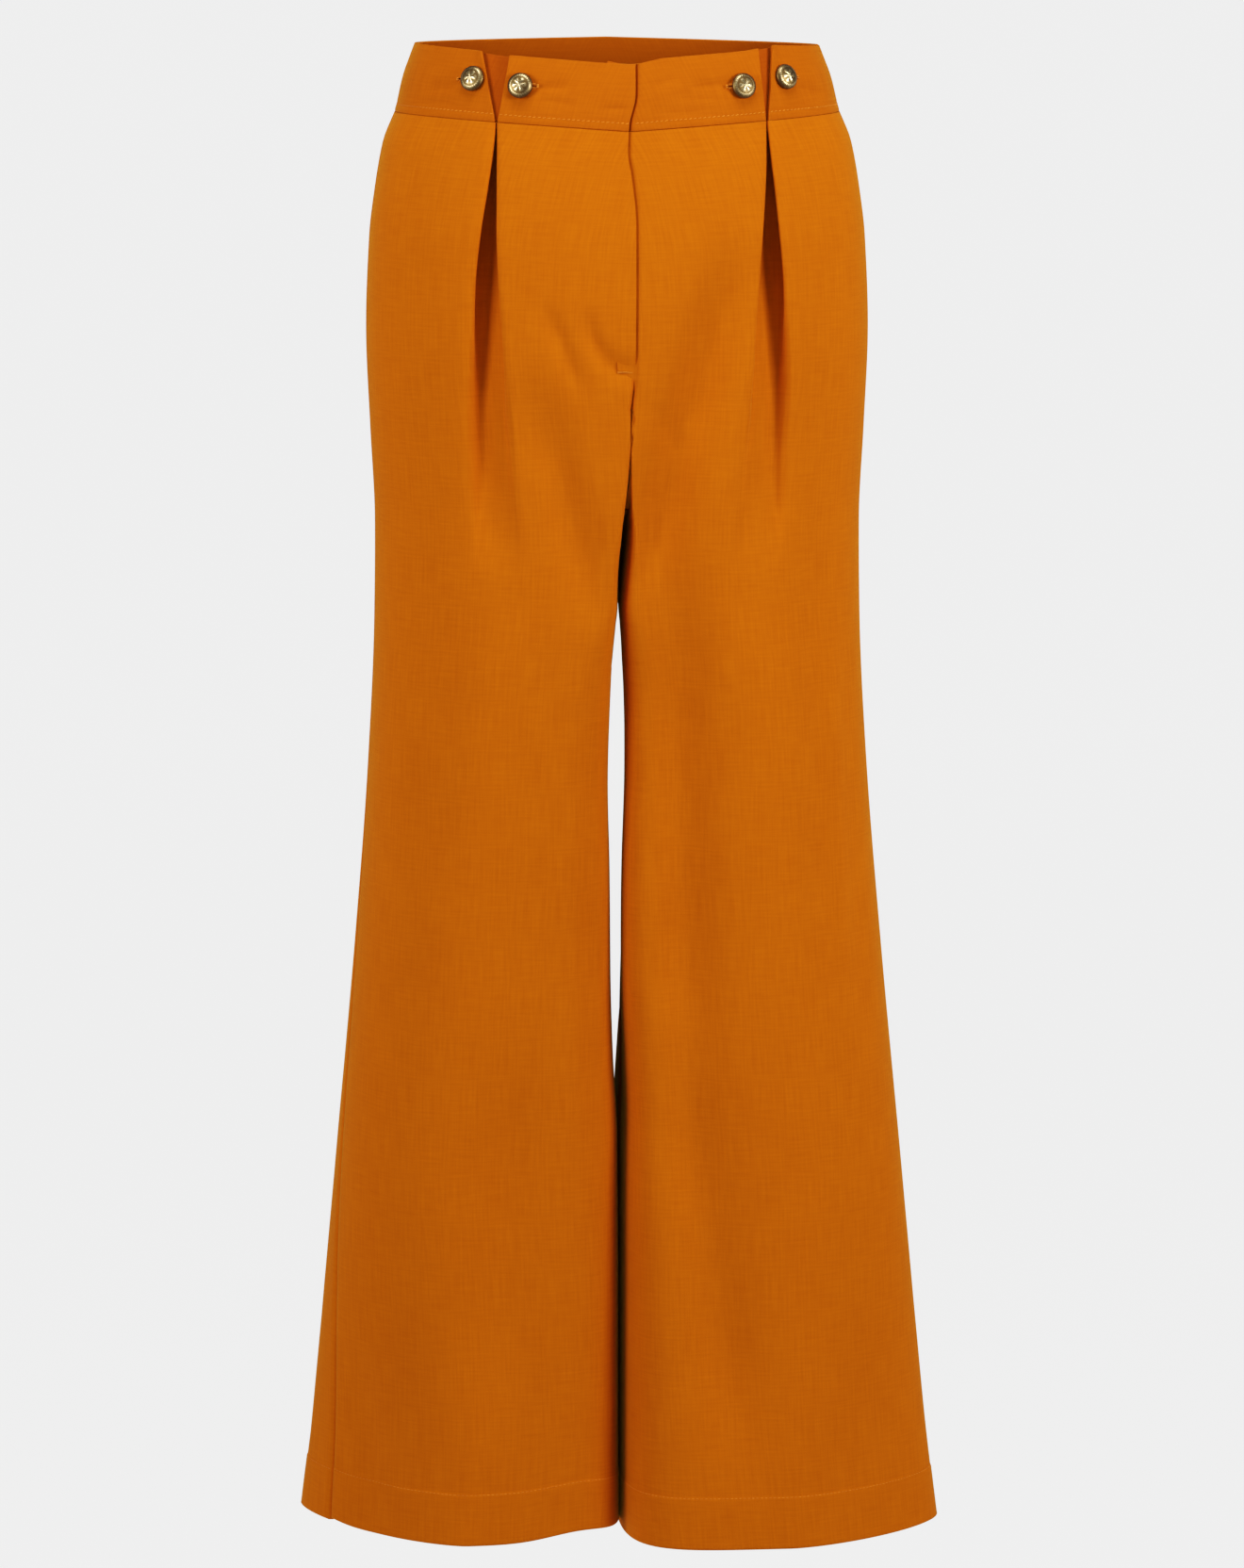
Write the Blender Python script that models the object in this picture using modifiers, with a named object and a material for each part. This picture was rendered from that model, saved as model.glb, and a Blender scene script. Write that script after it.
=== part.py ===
"""Wide-leg trousers with a shaped waistband, two inverted pleats and a fly front.

The cloth keeps the shape that it has when worn, on a general figure. The front
faces -Y, the wearer's left is +X and up is +Z. The origin is the middle of the
waist, half way up the band, where the wearer holds the trousers up. Lengths are
in metres. A height is measured up from the hem, and "out" is the distance from
the middle plane, so that one rule serves the right side and the left side.
"""

import math
from collections import namedtuple

import bmesh
import bpy
import numpy as np
from mathutils import Matrix, Vector

# Driving dimensions.
RIM_HEIGHT = 1.042          # top of the band at the side
SEAM_HEIGHT = 0.9954        # lower edge of the band at the side
CROTCH_TOP_FRONT = 0.800    # where the centre front starts to turn under
CROTCH_TOP_BACK = 0.850     # where the centre back starts to turn under
FORK_HEIGHT = 0.720         # where the four panels meet: the inseam's length
HEM_DEPTH = 0.037           # cloth turned up inside each leg
CLOTH = 0.0012              # thickness of the panels' cloth
BAND_CLOTH = 0.0022         # the band is two layers with a stiffener
BAND_IN = 0.0003            # the band's middle lies this far in, so its face stands 0.2 mm proud
SEAM = 0.0003               # space left between pieces that are sewn together
LAYER = 0.0017              # from the middle of one layer of cloth to the next
WAIST_HEIGHT = (RIM_HEIGHT + SEAM_HEIGHT) / 2

SIDES = {"right": -1.0, "left": 1.0}
SIDE_LINE = 0.004           # the side's widest point lies this far behind the middle

# The outline from the front and from the side: half the width at the side, the
# depth to the front and to the back, and how square the curve between them is.
Girth = namedtuple("Girth", "height side front back square")
GIRTHS = (
    Girth(0.000, 0.2250, 0.0950, 0.0970, 1.42),
    Girth(0.070, 0.2166, 0.0940, 0.0960, 1.50),
    Girth(0.140, 0.2098, 0.0930, 0.0940, 1.66),
    Girth(0.277, 0.1969, 0.0925, 0.0925, 2.02),
    Girth(0.413, 0.1843, 0.0930, 0.0920, 2.05),
    Girth(0.547, 0.1740, 0.0955, 0.0970, 2.10),
    Girth(0.647, 0.1692, 0.1000, 0.1050, 2.16),
    Girth(0.714, 0.1683, 0.1035, 0.1125, 2.22),
    Girth(0.779, 0.1711, 0.1065, 0.1215, 2.28),
    Girth(0.845, 0.1735, 0.1085, 0.1280, 2.32),
    Girth(0.910, 0.1709, 0.1070, 0.1230, 2.34),
    Girth(0.942, 0.1670, 0.1045, 0.1165, 2.34),
    Girth(0.975, 0.1610, 0.1000, 0.1070, 2.32),
    Girth(0.986, 0.1570, 0.0980, 0.1035, 2.30),
    Girth(0.9954, 0.1528, 0.0965, 0.1010, 2.30),
    Girth(1.020, 0.1467, 0.0930, 0.0965, 2.28),
    Girth(1.033, 0.1420, 0.0905, 0.0935, 2.26),
    Girth(1.042, 0.1385, 0.0885, 0.0915, 2.25),
)

# Between the legs: how far out each leg's fullest line lies in front and behind,
# half the space between the legs, and where the inseam lies from front to back.
Leg = namedtuple("Leg", "height front_peak back_peak space inseam")
LEGS = (
    Leg(0.000, 0.1125, 0.1125, 0.0008, 0.002),
    Leg(0.277, 0.0985, 0.0985, 0.0011, 0.002),
    Leg(0.345, 0.0960, 0.0960, 0.0029, 0.003),
    Leg(0.480, 0.0910, 0.0910, 0.0050, 0.005),
    Leg(0.547, 0.0840, 0.0860, 0.0060, 0.006),
    Leg(0.614, 0.0700, 0.0780, 0.0044, 0.008),
    Leg(0.647, 0.0560, 0.0690, 0.0022, 0.009),
    Leg(0.680, 0.0390, 0.0560, 0.0012, 0.011),
    Leg(0.720, 0.0200, 0.0380, 0.0009, 0.012),
    Leg(0.760, 0.0080, 0.0210, 0.0009, 0.012),
    Leg(0.800, 0.0014, 0.0090, 0.0009, 0.012),
    Leg(0.850, 0.0000, 0.0014, 0.0009, 0.012),
)
INNER_SQUARE = {"front": 4.2, "back": 2.2}   # how square the turns in to the inseam are
ROUNDING = 0.006            # the cloth turns no tighter than this at the side

# How the legs stand: the right one a little back and the left one forward, each
# with its widest point at the side that far behind its middle, and the inner one
# as far in front of it.
Stance = namedtuple("Stance", "height right_back left_back right_lean left_lean")
STANCES = (
    Stance(0.000, 0.0108, -0.0144, 0.0170, -0.0240),
    Stance(0.350, 0.0054, -0.0072, 0.0085, -0.0120),
    Stance(0.650, 0.0000, 0.0000, 0.0000, 0.0000),
    Stance(0.720, 0.0000, 0.0000, 0.0000, 0.0000),
)

# How far the seams lie from those widest points, towards the front.
Twist = namedtuple("Twist", "height right_side left_inseam")
TWISTS = (
    Twist(0.000, 0.047, 0.024),
    Twist(0.300, 0.021, 0.034),
    Twist(0.500, 0.006, 0.016),
    Twist(0.620, 0.000, 0.000),
    Twist(0.720, 0.000, 0.000),
)

# Each inverted pleat, by the drop below the band: half the space between its two
# folded edges, how far the cloth is tucked back behind each edge, how deep the
# cloth between them lies once it has opened, and how far it has opened (0 to 1).
Pleat = namedtuple("Pleat", "drop gap tuck recess opened")
PLEATS = (
    Pleat(0.000, 0.0008, 0.0120, 0.0034, 0.00),
    Pleat(0.015, 0.0016, 0.0115, 0.0038, 0.00),
    Pleat(0.045, 0.0046, 0.0100, 0.0052, 0.10),
    Pleat(0.080, 0.0080, 0.0080, 0.0072, 0.35),
    Pleat(0.113, 0.0106, 0.0060, 0.0088, 0.65),
    Pleat(0.146, 0.0124, 0.0040, 0.0092, 0.90),
    Pleat(0.190, 0.0138, 0.0020, 0.0078, 1.00),
    Pleat(0.240, 0.0150, 0.0010, 0.0045, 1.00),
    Pleat(0.300, 0.0170, 0.0000, 0.0000, 1.00),
)
PLEAT_WIDTH = {"right": 1.0, "left": 0.82}      # the left one is drawn tighter
PLEAT_SHOULDER = 0.006      # where it has opened, the cloth dips from this far beside each edge

# The section of a pleat that has opened, as shares of its half width and its depth.
Opened = namedtuple("Opened", "aside deep")
OPENED_SECTION = (
    Opened(1.00, 0.00),
    Opened(0.80, 0.28),
    Opened(0.62, 0.72),
    Opened(0.44, 1.00),
    Opened(0.20, 0.90),
    Opened(0.00, 0.78),
)

# How far out the middle of each pleat lies.
PleatLine = namedtuple("PleatLine", "height out")
PLEAT_LINE = (
    PleatLine(0.700, 0.0975),
    PleatLine(0.780, 0.0985),
    PleatLine(0.883, 0.0970),
    PleatLine(0.950, 0.0935),
    PleatLine(0.9954, 0.0918),
    PleatLine(1.042, 0.0905),
)

# The edge of the fly, from the middle towards the wearer's left, how far the left
# front runs on behind it, and how deep. Below the fly both come to the middle.
Fly = namedtuple("Fly", "height edge lap under")
FLY = (
    Fly(0.800, 0.0000, 0.0000, 0.0),
    Fly(0.812, 0.0012, 0.0000, LAYER),
    Fly(0.824, 0.0026, 0.0120, LAYER),
    Fly(0.930, 0.0032, 0.0170, LAYER),
    Fly(0.965, 0.0008, 0.0160, LAYER),
    Fly(0.980, -0.0006, 0.0150, LAYER),
    Fly(1.000, 0.0012, 0.0160, LAYER),
    Fly(1.020, 0.0040, 0.0190, LAYER),
    Fly(1.042, 0.0044, 0.0190, LAYER),
)
FLY_STEP = 0.0045           # length over which the left front dips under the fly
FLY_TUCK = 0.0010           # it is fully under by this far from the fly's edge

# The zip's tape and the shield behind it: how far out each reaches on both sides
# of the middle, how many layers in it lies, and where it ends.
Strip = namedtuple("Strip", "name right left layer foot")
FLY_STRIPS = (
    Strip("fly_zip", -0.0120, 0.0140, 2, 0.833),
    Strip("fly_shield", -0.0180, 0.0200, 3, 0.828),
)
STRIP_ROWS = 7
STRIP_COLUMNS = 5

# How far the band's rim dips in front, by how far out.
Rim = namedtuple("Rim", "out right left")
RIMS = (
    Rim(0.000, 0.0125, 0.0125),
    Rim(0.006, 0.0122, 0.0122),
    Rim(0.022, 0.0112, 0.0085),
    Rim(0.080, 0.0065, 0.0040),
    Rim(0.100, 0.0036, 0.0004),
    Rim(0.1385, 0.0000, 0.0018),
)
SEAM_DIP = 0.0106           # the band's lower edge dips this far at the centre front
BACK_RISE = 0.0025          # the band stands this much higher at the centre back
SIDE_OUT = 0.1528           # the dip and the rise end this far out
DIP_FADES = 0.16            # the dip has gone this far below the band

# Soft folds in the fronts: where each one starts and ends, its half width, and
# how deep it lies.
Fold = namedtuple("Fold", "side out_top top out_foot foot width depth")
FOLDS = (
    Fold("left", 0.076, 0.862, 0.022, 0.712, 0.015, 0.0034),
    Fold("left", 0.052, 0.205, 0.084, 0.070, 0.020, 0.0030),
    Fold("left", 0.120, 0.620, 0.150, 0.420, 0.022, 0.0022),
    Fold("right", 0.064, 0.775, 0.030, 0.705, 0.014, 0.0026),
    Fold("right", 0.058, 0.850, 0.044, 0.815, 0.008, 0.0012),
    Fold("right", 0.120, 0.640, 0.140, 0.480, 0.024, 0.0020),
)

# The V notch in the band over each pleat: half its width at the rim.
NOTCH_HALF = {"right": 0.0102, "left": 0.0052}
NOTCH_FOOT = 0.0008
UNDERLAY_TO_SIDE = 0.026    # the cloth behind a notch reaches this far from its middle
UNDERLAY_TO_FLY = 0.028
UNDERLAY_DROP = 0.0012      # it ends this far below the rim

# Buttons: which front and which side of its notch, how far along the band from
# the middle of the notch, and the height.
Button = namedtuple("Button", "name side along height")
BUTTONS = (
    Button("button_right_outer", "right", -0.0140, 1.0195),
    Button("button_right_inner", "right", 0.0195, 1.0152),
    Button("button_left_inner", "left", 0.0150, 1.0146),
    Button("button_left_outer", "left", -0.0185, 1.0201),
)
BUTTON_RADIUS = 0.0086
BUTTON_DOME = 0.0042
BUTTON_EDGE = 0.0009        # the dome springs from a rim this high
BUTTON_BACK = 0.95          # the flat back's share of the radius
DOME_ANGLES = (24, 44, 62, 78, 90)      # degrees from the top of the dome
BUTTON_STEPS = 20
BUTTON_STANDS_OFF = 0.0012  # space between the band and the back of the button
SHANK_RADIUS = 0.0015
HOLE_LENGTH = 0.0150
HOLE_WIDTH = 0.0038
HOLE_PAST_SHANK = 0.0024    # the hole's near end lies this far past the shank
HOLE_DEPTH = 0.010          # more than the band's thickness
FRAME_REACH = 0.006         # the band's slope at a button is taken over this length

# Rows of each panel, from the band to the hem.
PANEL_HEIGHTS = (
    SEAM_HEIGHT - 2.4 * SEAM, 0.981, 0.958, 0.930, 0.900, 0.870, 0.845, 0.824, 0.812, 0.800, 0.778,
    0.755, 0.737, 0.7255, FORK_HEIGHT, 0.703, 0.675, 0.640, 0.590, 0.540, 0.480, 0.410, 0.325,
    0.235, 0.150, 0.080, HEM_DEPTH,
)
BAND_HEIGHTS = (SEAM_HEIGHT, 1.010, 1.026, RIM_HEIGHT)
BAND_COLUMNS = {"side": 9, "centre": 8, "back": 12, "underlay": 6}
SIDE_COLUMNS = 4            # from the side seam to the pleat
CENTRE_COLUMNS = 6          # from the pleat to the turn between the legs
BACK_COLUMNS = 11           # from the side seam to the turn between the legs
INNER_COLUMNS = 4           # from that turn to the crotch seam or the inseam
INNER_STRIP = 0.005         # these columns keep this width above the crotch
CORNER_TURN = math.radians(38)
SPREAD_FROM = 0.70          # below here a panel's columns even out
SPREAD_TO = 0.40
QUARTER_STEPS = 40
PROBE = 0.001               # a line's direction is taken over this length to each side
FLY_REACH = 0.040           # a front's line is kept this far past the middle, for the fly


def read(table, column, at):
    """The value of a table's column at a place in its first column, on a smooth line through its rows."""
    places = [row[0] for row in table]
    values = [getattr(row, column) for row in table]
    at = min(max(at, places[0]), places[-1])
    steps = [b - a for a, b in zip(places, places[1:])]
    rises = [(b - a) / step for a, b, step in zip(values, values[1:], steps)]
    slopes = [rises[0]]
    for before, after in zip(rises, rises[1:]):
        turning = before * after <= 0
        slopes.append(0.0 if turning else 2 * before * after / (before + after))
    slopes.append(rises[-1])
    k = min(int(np.searchsorted(places, at, side="right")) - 1, len(steps) - 1)
    t = (at - places[k]) / steps[k]
    return (
        values[k] * (1 + 2 * t) * (1 - t) ** 2
        + values[k + 1] * (3 - 2 * t) * t ** 2
        + steps[k] * (slopes[k] * t * (1 - t) ** 2 - slopes[k + 1] * t ** 2 * (1 - t))
    )


def ease(value, start, end):
    """0 before start, 1 past end, and a smooth rise between them."""
    t = min(max((value - start) / (end - start), 0.0), 1.0)
    return t * t * (3 - 2 * t)


def crotch_turn(height, top):
    """1 at the top of the crotch seam and 0 at the fork, along a quarter of an ellipse."""
    fall = min(max((top - height) / (top - FORK_HEIGHT), 0.0), 1.0)
    return math.sqrt(1 - fall * fall)


def half_line(height, facing, side):
    """The cloth's line at a height, from the side to the middle plane or the inseam, as (out, y) points."""
    back = read(STANCES, side + "_back", height)
    lean = read(STANCES, side + "_lean", height)
    side_y = SIDE_LINE + lean
    front = facing == "front"
    widest = read(GIRTHS, "side", height)
    depth = read(GIRTHS, facing, height)
    square = read(GIRTHS, "square", height)
    sign = -1.0 if front else 1.0
    top = CROTCH_TOP_FRONT if front else CROTCH_TOP_BACK
    peak = read(LEGS, facing + "_peak", height) if height < top else 0.0
    turn = np.linspace(math.pi / 2, 0.0, QUARTER_STEPS)
    outward, forward = np.sin(turn) ** (2 / square), np.cos(turn) ** (2 / square)
    wide, deep = widest - peak - ROUNDING, abs(sign * depth - side_y) - ROUNDING
    normal = np.column_stack((outward, forward)) ** (square - 1) / (wide, deep)
    normal /= np.linalg.norm(normal, axis=1)[:, None]
    out = peak + wide * outward + ROUNDING * normal[:, 0]
    y = side_y + sign * (deep * forward + ROUNDING * normal[:, 1])
    if height < top:
        space = read(LEGS, "space", height)
        inseam = read(LEGS, "inseam", height) - lean
        edge = inseam + (sign * depth - inseam) * crotch_turn(height, top)
        turn = np.linspace(0.0, math.pi / 2, QUARTER_STEPS)[1:]
        power = 2 / INNER_SQUARE[facing]
        out = np.append(out, peak - (peak - space) * np.sin(turn) ** power)
        y = np.append(y, edge + (sign * depth - edge) * np.cos(turn) ** power)
    elif front:
        beyond = (out > 0.0001) & (out < FLY_REACH)
        out, y = np.append(out, -out[beyond][::-1]), np.append(y, y[beyond][::-1])
    return np.column_stack((out, y + back))


def lengths_along(line):
    return np.append(0.0, np.cumsum(np.hypot(*np.diff(line, axis=0).T)))


def length_to_inner(line):
    """Length from the side to the middle plane, or to the line's inner end below the crotch."""
    if line[-1, 0] < 0:
        return float(np.interp(0.0, -line[:, 0], lengths_along(line)))
    return float(lengths_along(line)[-1])


def place(line, at, inward, clockwise):
    """Points at lengths along a line, moved in from it. Past its ends the line runs on straight."""
    along = lengths_along(line)

    def spot(where):
        kept = np.clip(where, 0.0, along[-1])
        points = np.column_stack([np.interp(kept, along, line[:, k]) for k in (0, 1)])
        first = (line[1] - line[0]) / np.linalg.norm(line[1] - line[0])
        last = (line[-1] - line[-2]) / np.linalg.norm(line[-1] - line[-2])
        return points + np.outer(where - kept, [1, 1]) * np.where((where < 0)[:, None], first, last)

    at = np.asarray(at, float)
    tangent = spot(at + PROBE) - spot(at - PROBE)
    tangent /= np.linalg.norm(tangent, axis=1)[:, None]
    normal = np.column_stack((tangent[:, 1], -tangent[:, 0])) * (1.0 if clockwise else -1.0)
    return spot(at) + normal * np.asarray(inward, float)[:, None]


def panel_line(height, facing, side):
    """A panel's line from its side seam to its inner edge, with each seam where the legs' twist puts it."""
    front, back = half_line(height, "front", side), half_line(height, "back", side)
    front_length = lengths_along(front)[-1]
    at_side = read(TWISTS, "right_side", height) if side == "right" else 0.0
    at_inseam = read(TWISTS, "left_inseam", height) if side == "left" else 0.0
    if facing == "front" and at_side + at_inseam == 0:
        return front
    if facing == "front":
        count = 2 * QUARTER_STEPS
        return place(front, np.linspace(at_side, front_length - at_inseam, count), np.zeros(count), True)
    pieces = [back]
    if at_side > 0:
        steps = np.linspace(at_side, 0.0, 12, endpoint=False)
        pieces.insert(0, place(front, steps, np.zeros(len(steps)), True))
    if at_inseam > 0:
        steps = front_length - np.linspace(0.0, at_inseam, 13)[1:]
        pieces.append(place(front, steps, np.zeros(len(steps)), True))
    return np.vstack(pieces)


def length_at_out(line, out):
    """Length along the outer part of a line, from the side to the place that is this far out."""
    outer = line[:QUARTER_STEPS]
    return float(np.interp(-out, -outer[:, 0], lengths_along(line)[:QUARTER_STEPS]))


def pleat_half(row_gap, tuck, recess, opened):
    """Half a pleat's section, from its folded edge to its middle, as (distance from the middle, inward)."""
    nose = LAYER / 2
    deep = row_gap + max(tuck, 2 * nose)
    folded = (
        (row_gap + nose, 0.0), (row_gap, nose), (row_gap + nose, LAYER), (deep, 1.5 * LAYER),
        (row_gap * 0.5, 2 * LAYER), (0.0, 2 * LAYER),
    )
    wide = row_gap + PLEAT_SHOULDER
    unfolded = [(wide * row.aside, recess * row.deep) for row in OPENED_SECTION]
    return [
        tuple(a + (b - a) * opened for a, b in zip(shut, spread))
        for shut, spread in zip(folded, unfolded)
    ]


def corner_length(height, facing, line):
    """Length along a line to where it turns in between the legs."""
    inner = length_to_inner(line)
    top = CROTCH_TOP_FRONT if facing == "front" else CROTCH_TOP_BACK
    if height >= top:
        return inner - INNER_STRIP
    turned = QUARTER_STEPS - 1 + round((QUARTER_STEPS - 1) * CORNER_TURN / (math.pi / 2))
    return min(float(lengths_along(line)[turned]), inner - INNER_STRIP)


def front_columns(height, side, line):
    """Lengths along the line and inward depths of a front panel's columns."""
    total = length_to_inner(line)
    drop = SEAM_HEIGHT - height
    gap = read(PLEATS, "gap", drop) * PLEAT_WIDTH[side] + NOTCH_FOOT * (1 - PLEAT_WIDTH[side])
    half = pleat_half(
        gap, read(PLEATS, "tuck", drop), read(PLEATS, "recess", drop), read(PLEATS, "opened", drop)
    )
    middle = length_at_out(line, read(PLEAT_LINE, "out", max(height, PLEAT_LINE[0].height)))
    pleat_at = [middle - t for t, _ in half] + [middle + t for t, _ in half[-2::-1]]
    pleat_in = [n for _, n in half] + [n for _, n in half[-2::-1]]
    edge = read(FLY, "edge", height)
    if side == "right":
        fly_at, fly_in = [total + edge], [0.0]
    else:
        under = read(FLY, "under", height)
        behind = total - edge - SEAM / 2 + read(FLY, "lap", height)
        fly_at = [total - edge - FLY_STEP, total - edge - FLY_TUCK, behind]
        fly_in = [0.0, under, under]
    corner = min(corner_length(height, "front", line), fly_at[0] - INNER_STRIP)
    at = np.concatenate((
        np.linspace(0.0, pleat_at[0], SIDE_COLUMNS + 1)[:-1],
        pleat_at,
        np.linspace(pleat_at[-1], corner, CENTRE_COLUMNS + 1)[1:-1],
        np.linspace(corner, fly_at[0], INNER_COLUMNS + 1)[:-1],
        fly_at,
    ))
    inward = np.zeros(len(at))
    inward[SIDE_COLUMNS:SIDE_COLUMNS + len(pleat_in)] = pleat_in
    inward[-len(fly_in):] = fly_in
    spread = 1 - ease(height, SPREAD_TO, SPREAD_FROM)
    even = np.linspace(0.0, total, len(at))
    at = at + (even - at) * spread
    at[-1] -= SEAM / 2
    return at, inward


def fold_depth(side, out, height):
    """How far the soft folds push the front in at a place."""
    depth = 0.0
    for fold in FOLDS:
        if fold.side != side:
            continue
        start = np.array((fold.out_top, fold.top))
        run = np.array((fold.out_foot, fold.foot)) - start
        length = np.linalg.norm(run)
        run /= length
        offset = np.array((out, height)) - start
        along = float(offset @ run) / length
        across = float(offset[0] * run[1] - offset[1] * run[0])
        ends = ease(along, -0.25, 0.3) * (1 - ease(along, 0.7, 1.25))
        depth += fold.depth * ends * math.exp(-((across / fold.width) ** 2))
    return depth


def towards_middle(out):
    """0 at the side and 1 at the middle."""
    return 1 - min(abs(out) / SIDE_OUT, 1.0)


def rim_dip(side, out):
    return float(np.interp(abs(out), [row.out for row in RIMS], [getattr(row, side) for row in RIMS]))


def cloth_object(name, points, thickness, material):
    """A wall of cloth: a grid whose rows and columns take the given points, with thickness on both sides."""
    rows, columns = len(points), len(points[0])
    bm = bmesh.new()
    bmesh.ops.create_grid(bm, x_segments=columns - 1, y_segments=rows - 1, size=1.0)
    for vertex in bm.verts:
        column = round((vertex.co.x + 1) / 2 * (columns - 1))
        row = round((vertex.co.y + 1) / 2 * (rows - 1))
        vertex.co = points[row][column]
    bmesh.ops.recalc_face_normals(bm, faces=bm.faces)
    mesh = bpy.data.meshes.new(name)
    bm.to_mesh(mesh)
    bm.free()
    mesh.shade_smooth()
    mesh.materials.append(material)
    cloth = bpy.data.objects.new(name, mesh)
    trousers.objects.link(cloth)
    wall = cloth.modifiers.new("thickness", "SOLIDIFY")
    wall.thickness = thickness
    wall.offset = 0.0
    wall.use_even_offset = True
    return cloth


def to_space(side, flat, heights):
    """Points in space from (out, y) points and heights, on the right or the left."""
    return [
        Vector((SIDES[side] * out, y, height - WAIST_HEIGHT))
        for (out, y), height in zip(flat, heights)
    ]


def with_hem(rows_at):
    """Adds a turned-up hem to a panel's rows. rows_at(height, inward, z) gives one row."""
    nose = LAYER / 2
    lowest = CLOTH / 2
    rows = [rows_at(height, 0.0, height) for height in PANEL_HEIGHTS]
    rows.append(rows_at(nose, 0.0, lowest + nose))
    rows.append(rows_at(0.0, nose, lowest))
    rows.append(rows_at(nose, LAYER, lowest + nose))
    rows.append(rows_at(HEM_DEPTH, LAYER, HEM_DEPTH))
    return rows


def side_room(height, side, inward):
    """Half the space at a side seam. It widens on the left, where the walls meet at a point near the hem."""
    point = max(0.0, 2.0 - read(GIRTHS, "square", height)) if side == "left" else 0.0
    return SEAM / 2 + (CLOTH / 2 + inward) * point


def front_panel(side, material):
    """A front: one inverted pleat, the fly's edge or its lap, half the crotch, and a leg's front."""

    def row(height, inward, z):
        line = panel_line(height, "front", side)
        at, depths = front_columns(height, side, line)
        at[0] = side_room(height, side, inward)
        flat = place(line, at, depths + inward, True)
        folds = np.array([fold_depth(side, out, height) if y < 0 else 0.0 for out, y in flat])
        flat = place(line, at, depths + inward + folds, True)
        fade = 1 - ease(SEAM_HEIGHT - height, 0.0, DIP_FADES)
        return to_space(side, flat, [z - SEAM_DIP * towards_middle(out) * fade for out, _ in flat])

    return cloth_object("front_panel_" + side, with_hem(row), CLOTH, material)


def back_panel(side, material):
    """A back: plain, with the other half of the crotch and a leg's back."""

    def row(height, inward, z):
        line = panel_line(height, "back", side)
        inner = length_to_inner(line)
        corner = corner_length(height, "back", line)
        at = np.append(
            np.linspace(0.0, corner, BACK_COLUMNS + 1)[:-1], np.linspace(corner, inner, INNER_COLUMNS + 1)
        )
        spread = 1 - ease(height, SPREAD_TO, SPREAD_FROM)
        at += (np.linspace(0.0, inner, len(at)) - at) * spread
        at[0] = side_room(height, side, inward)
        at[-1] -= SEAM / 2
        flat = place(line, at, np.full(len(at), inward), False)
        fade = 1 - ease(SEAM_HEIGHT - height, 0.0, DIP_FADES)
        return to_space(side, flat, [z + BACK_RISE * towards_middle(out) * fade for out, _ in flat])

    return cloth_object("back_panel_" + side, with_hem(row), CLOTH, material)


def band_piece(name, side, facing, ends, columns, material, inward=BAND_IN, thickness=BAND_CLOTH,
               heights=BAND_HEIGHTS, drop=0.0, step=None):
    """A piece of the waistband between two places along the waist, which ends(height, line) gives."""
    points = []
    for height in heights:
        line = half_line(height, facing, side)
        start, end = ends(height, line)
        at = np.linspace(start, end, columns + 1)
        depths = np.full(len(at), inward)
        if step:
            at, depths = step(height, line, at, depths)
        flat = place(line, at, depths, facing == "front")
        rise = (height - SEAM_HEIGHT) / (RIM_HEIGHT - SEAM_HEIGHT)
        z = []
        for out, _ in flat:
            if facing == "front":
                dip = SEAM_DIP * towards_middle(out) * (1 - rise) + rim_dip(side, out) * rise
            else:
                middle = towards_middle(out)
                dip = rim_dip(side, SIDE_OUT) * rise * (1 - middle) - BACK_RISE * middle
            z.append(height - dip - drop * rise)
        points.append(to_space(side, flat, z))
    return cloth_object(name, points, thickness, material)


def notch_half(side, height):
    rise = (height - SEAM_HEIGHT) / (RIM_HEIGHT - SEAM_HEIGHT)
    return NOTCH_FOOT + (NOTCH_HALF[side] - NOTCH_FOOT) * max(rise, 0.0)


def notch_middle(height, line):
    return length_at_out(line, read(PLEAT_LINE, "out", height))


def waistband(side, material, shadow_material):
    """Four pieces a side: the two fronts beside the notch, the cloth behind the notch, and the back half."""

    def side_ends(height, line):
        return SEAM / 2, notch_middle(height, line) - notch_half(side, height)

    def centre_ends(height, line):
        edge = read(FLY, "edge", height)
        end = length_to_inner(line) + (edge if side == "right" else -edge - FLY_STEP)
        return notch_middle(height, line) + notch_half(side, height), end

    def lap_step(height, line, at, depths):
        edge = length_to_inner(line) - read(FLY, "edge", height)
        behind = edge + read(FLY, "lap", height)
        under = BAND_IN + BAND_CLOTH + 2 * SEAM
        return np.append(at, (edge - SEAM, behind)), np.append(depths, (under, under))

    def back_ends(height, line):
        return SEAM / 2, lengths_along(line)[-1] - SEAM / 2

    def behind_ends(height, line):
        middle = notch_middle(height, line)
        return middle - UNDERLAY_TO_SIDE, middle + UNDERLAY_TO_FLY

    pieces = [
        band_piece("band_side_" + side, side, "front", side_ends, BAND_COLUMNS["side"], material),
        band_piece("band_centre_" + side, side, "front", centre_ends, BAND_COLUMNS["centre"], material,
                   step=lap_step if side == "left" else None),
        band_piece("band_back_" + side, side, "back", back_ends, BAND_COLUMNS["back"], material),
    ]
    behind = BAND_IN + BAND_CLOTH / 2 + 2 * SEAM + CLOTH / 2
    heights = (SEAM_HEIGHT + 2 * SEAM,) + BAND_HEIGHTS[1:]
    pieces.append(band_piece("notch_underlay_" + side, side, "front", behind_ends,
                             BAND_COLUMNS["underlay"], shadow_material, inward=behind, thickness=CLOTH,
                             heights=heights, drop=UNDERLAY_DROP))
    return pieces


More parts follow.
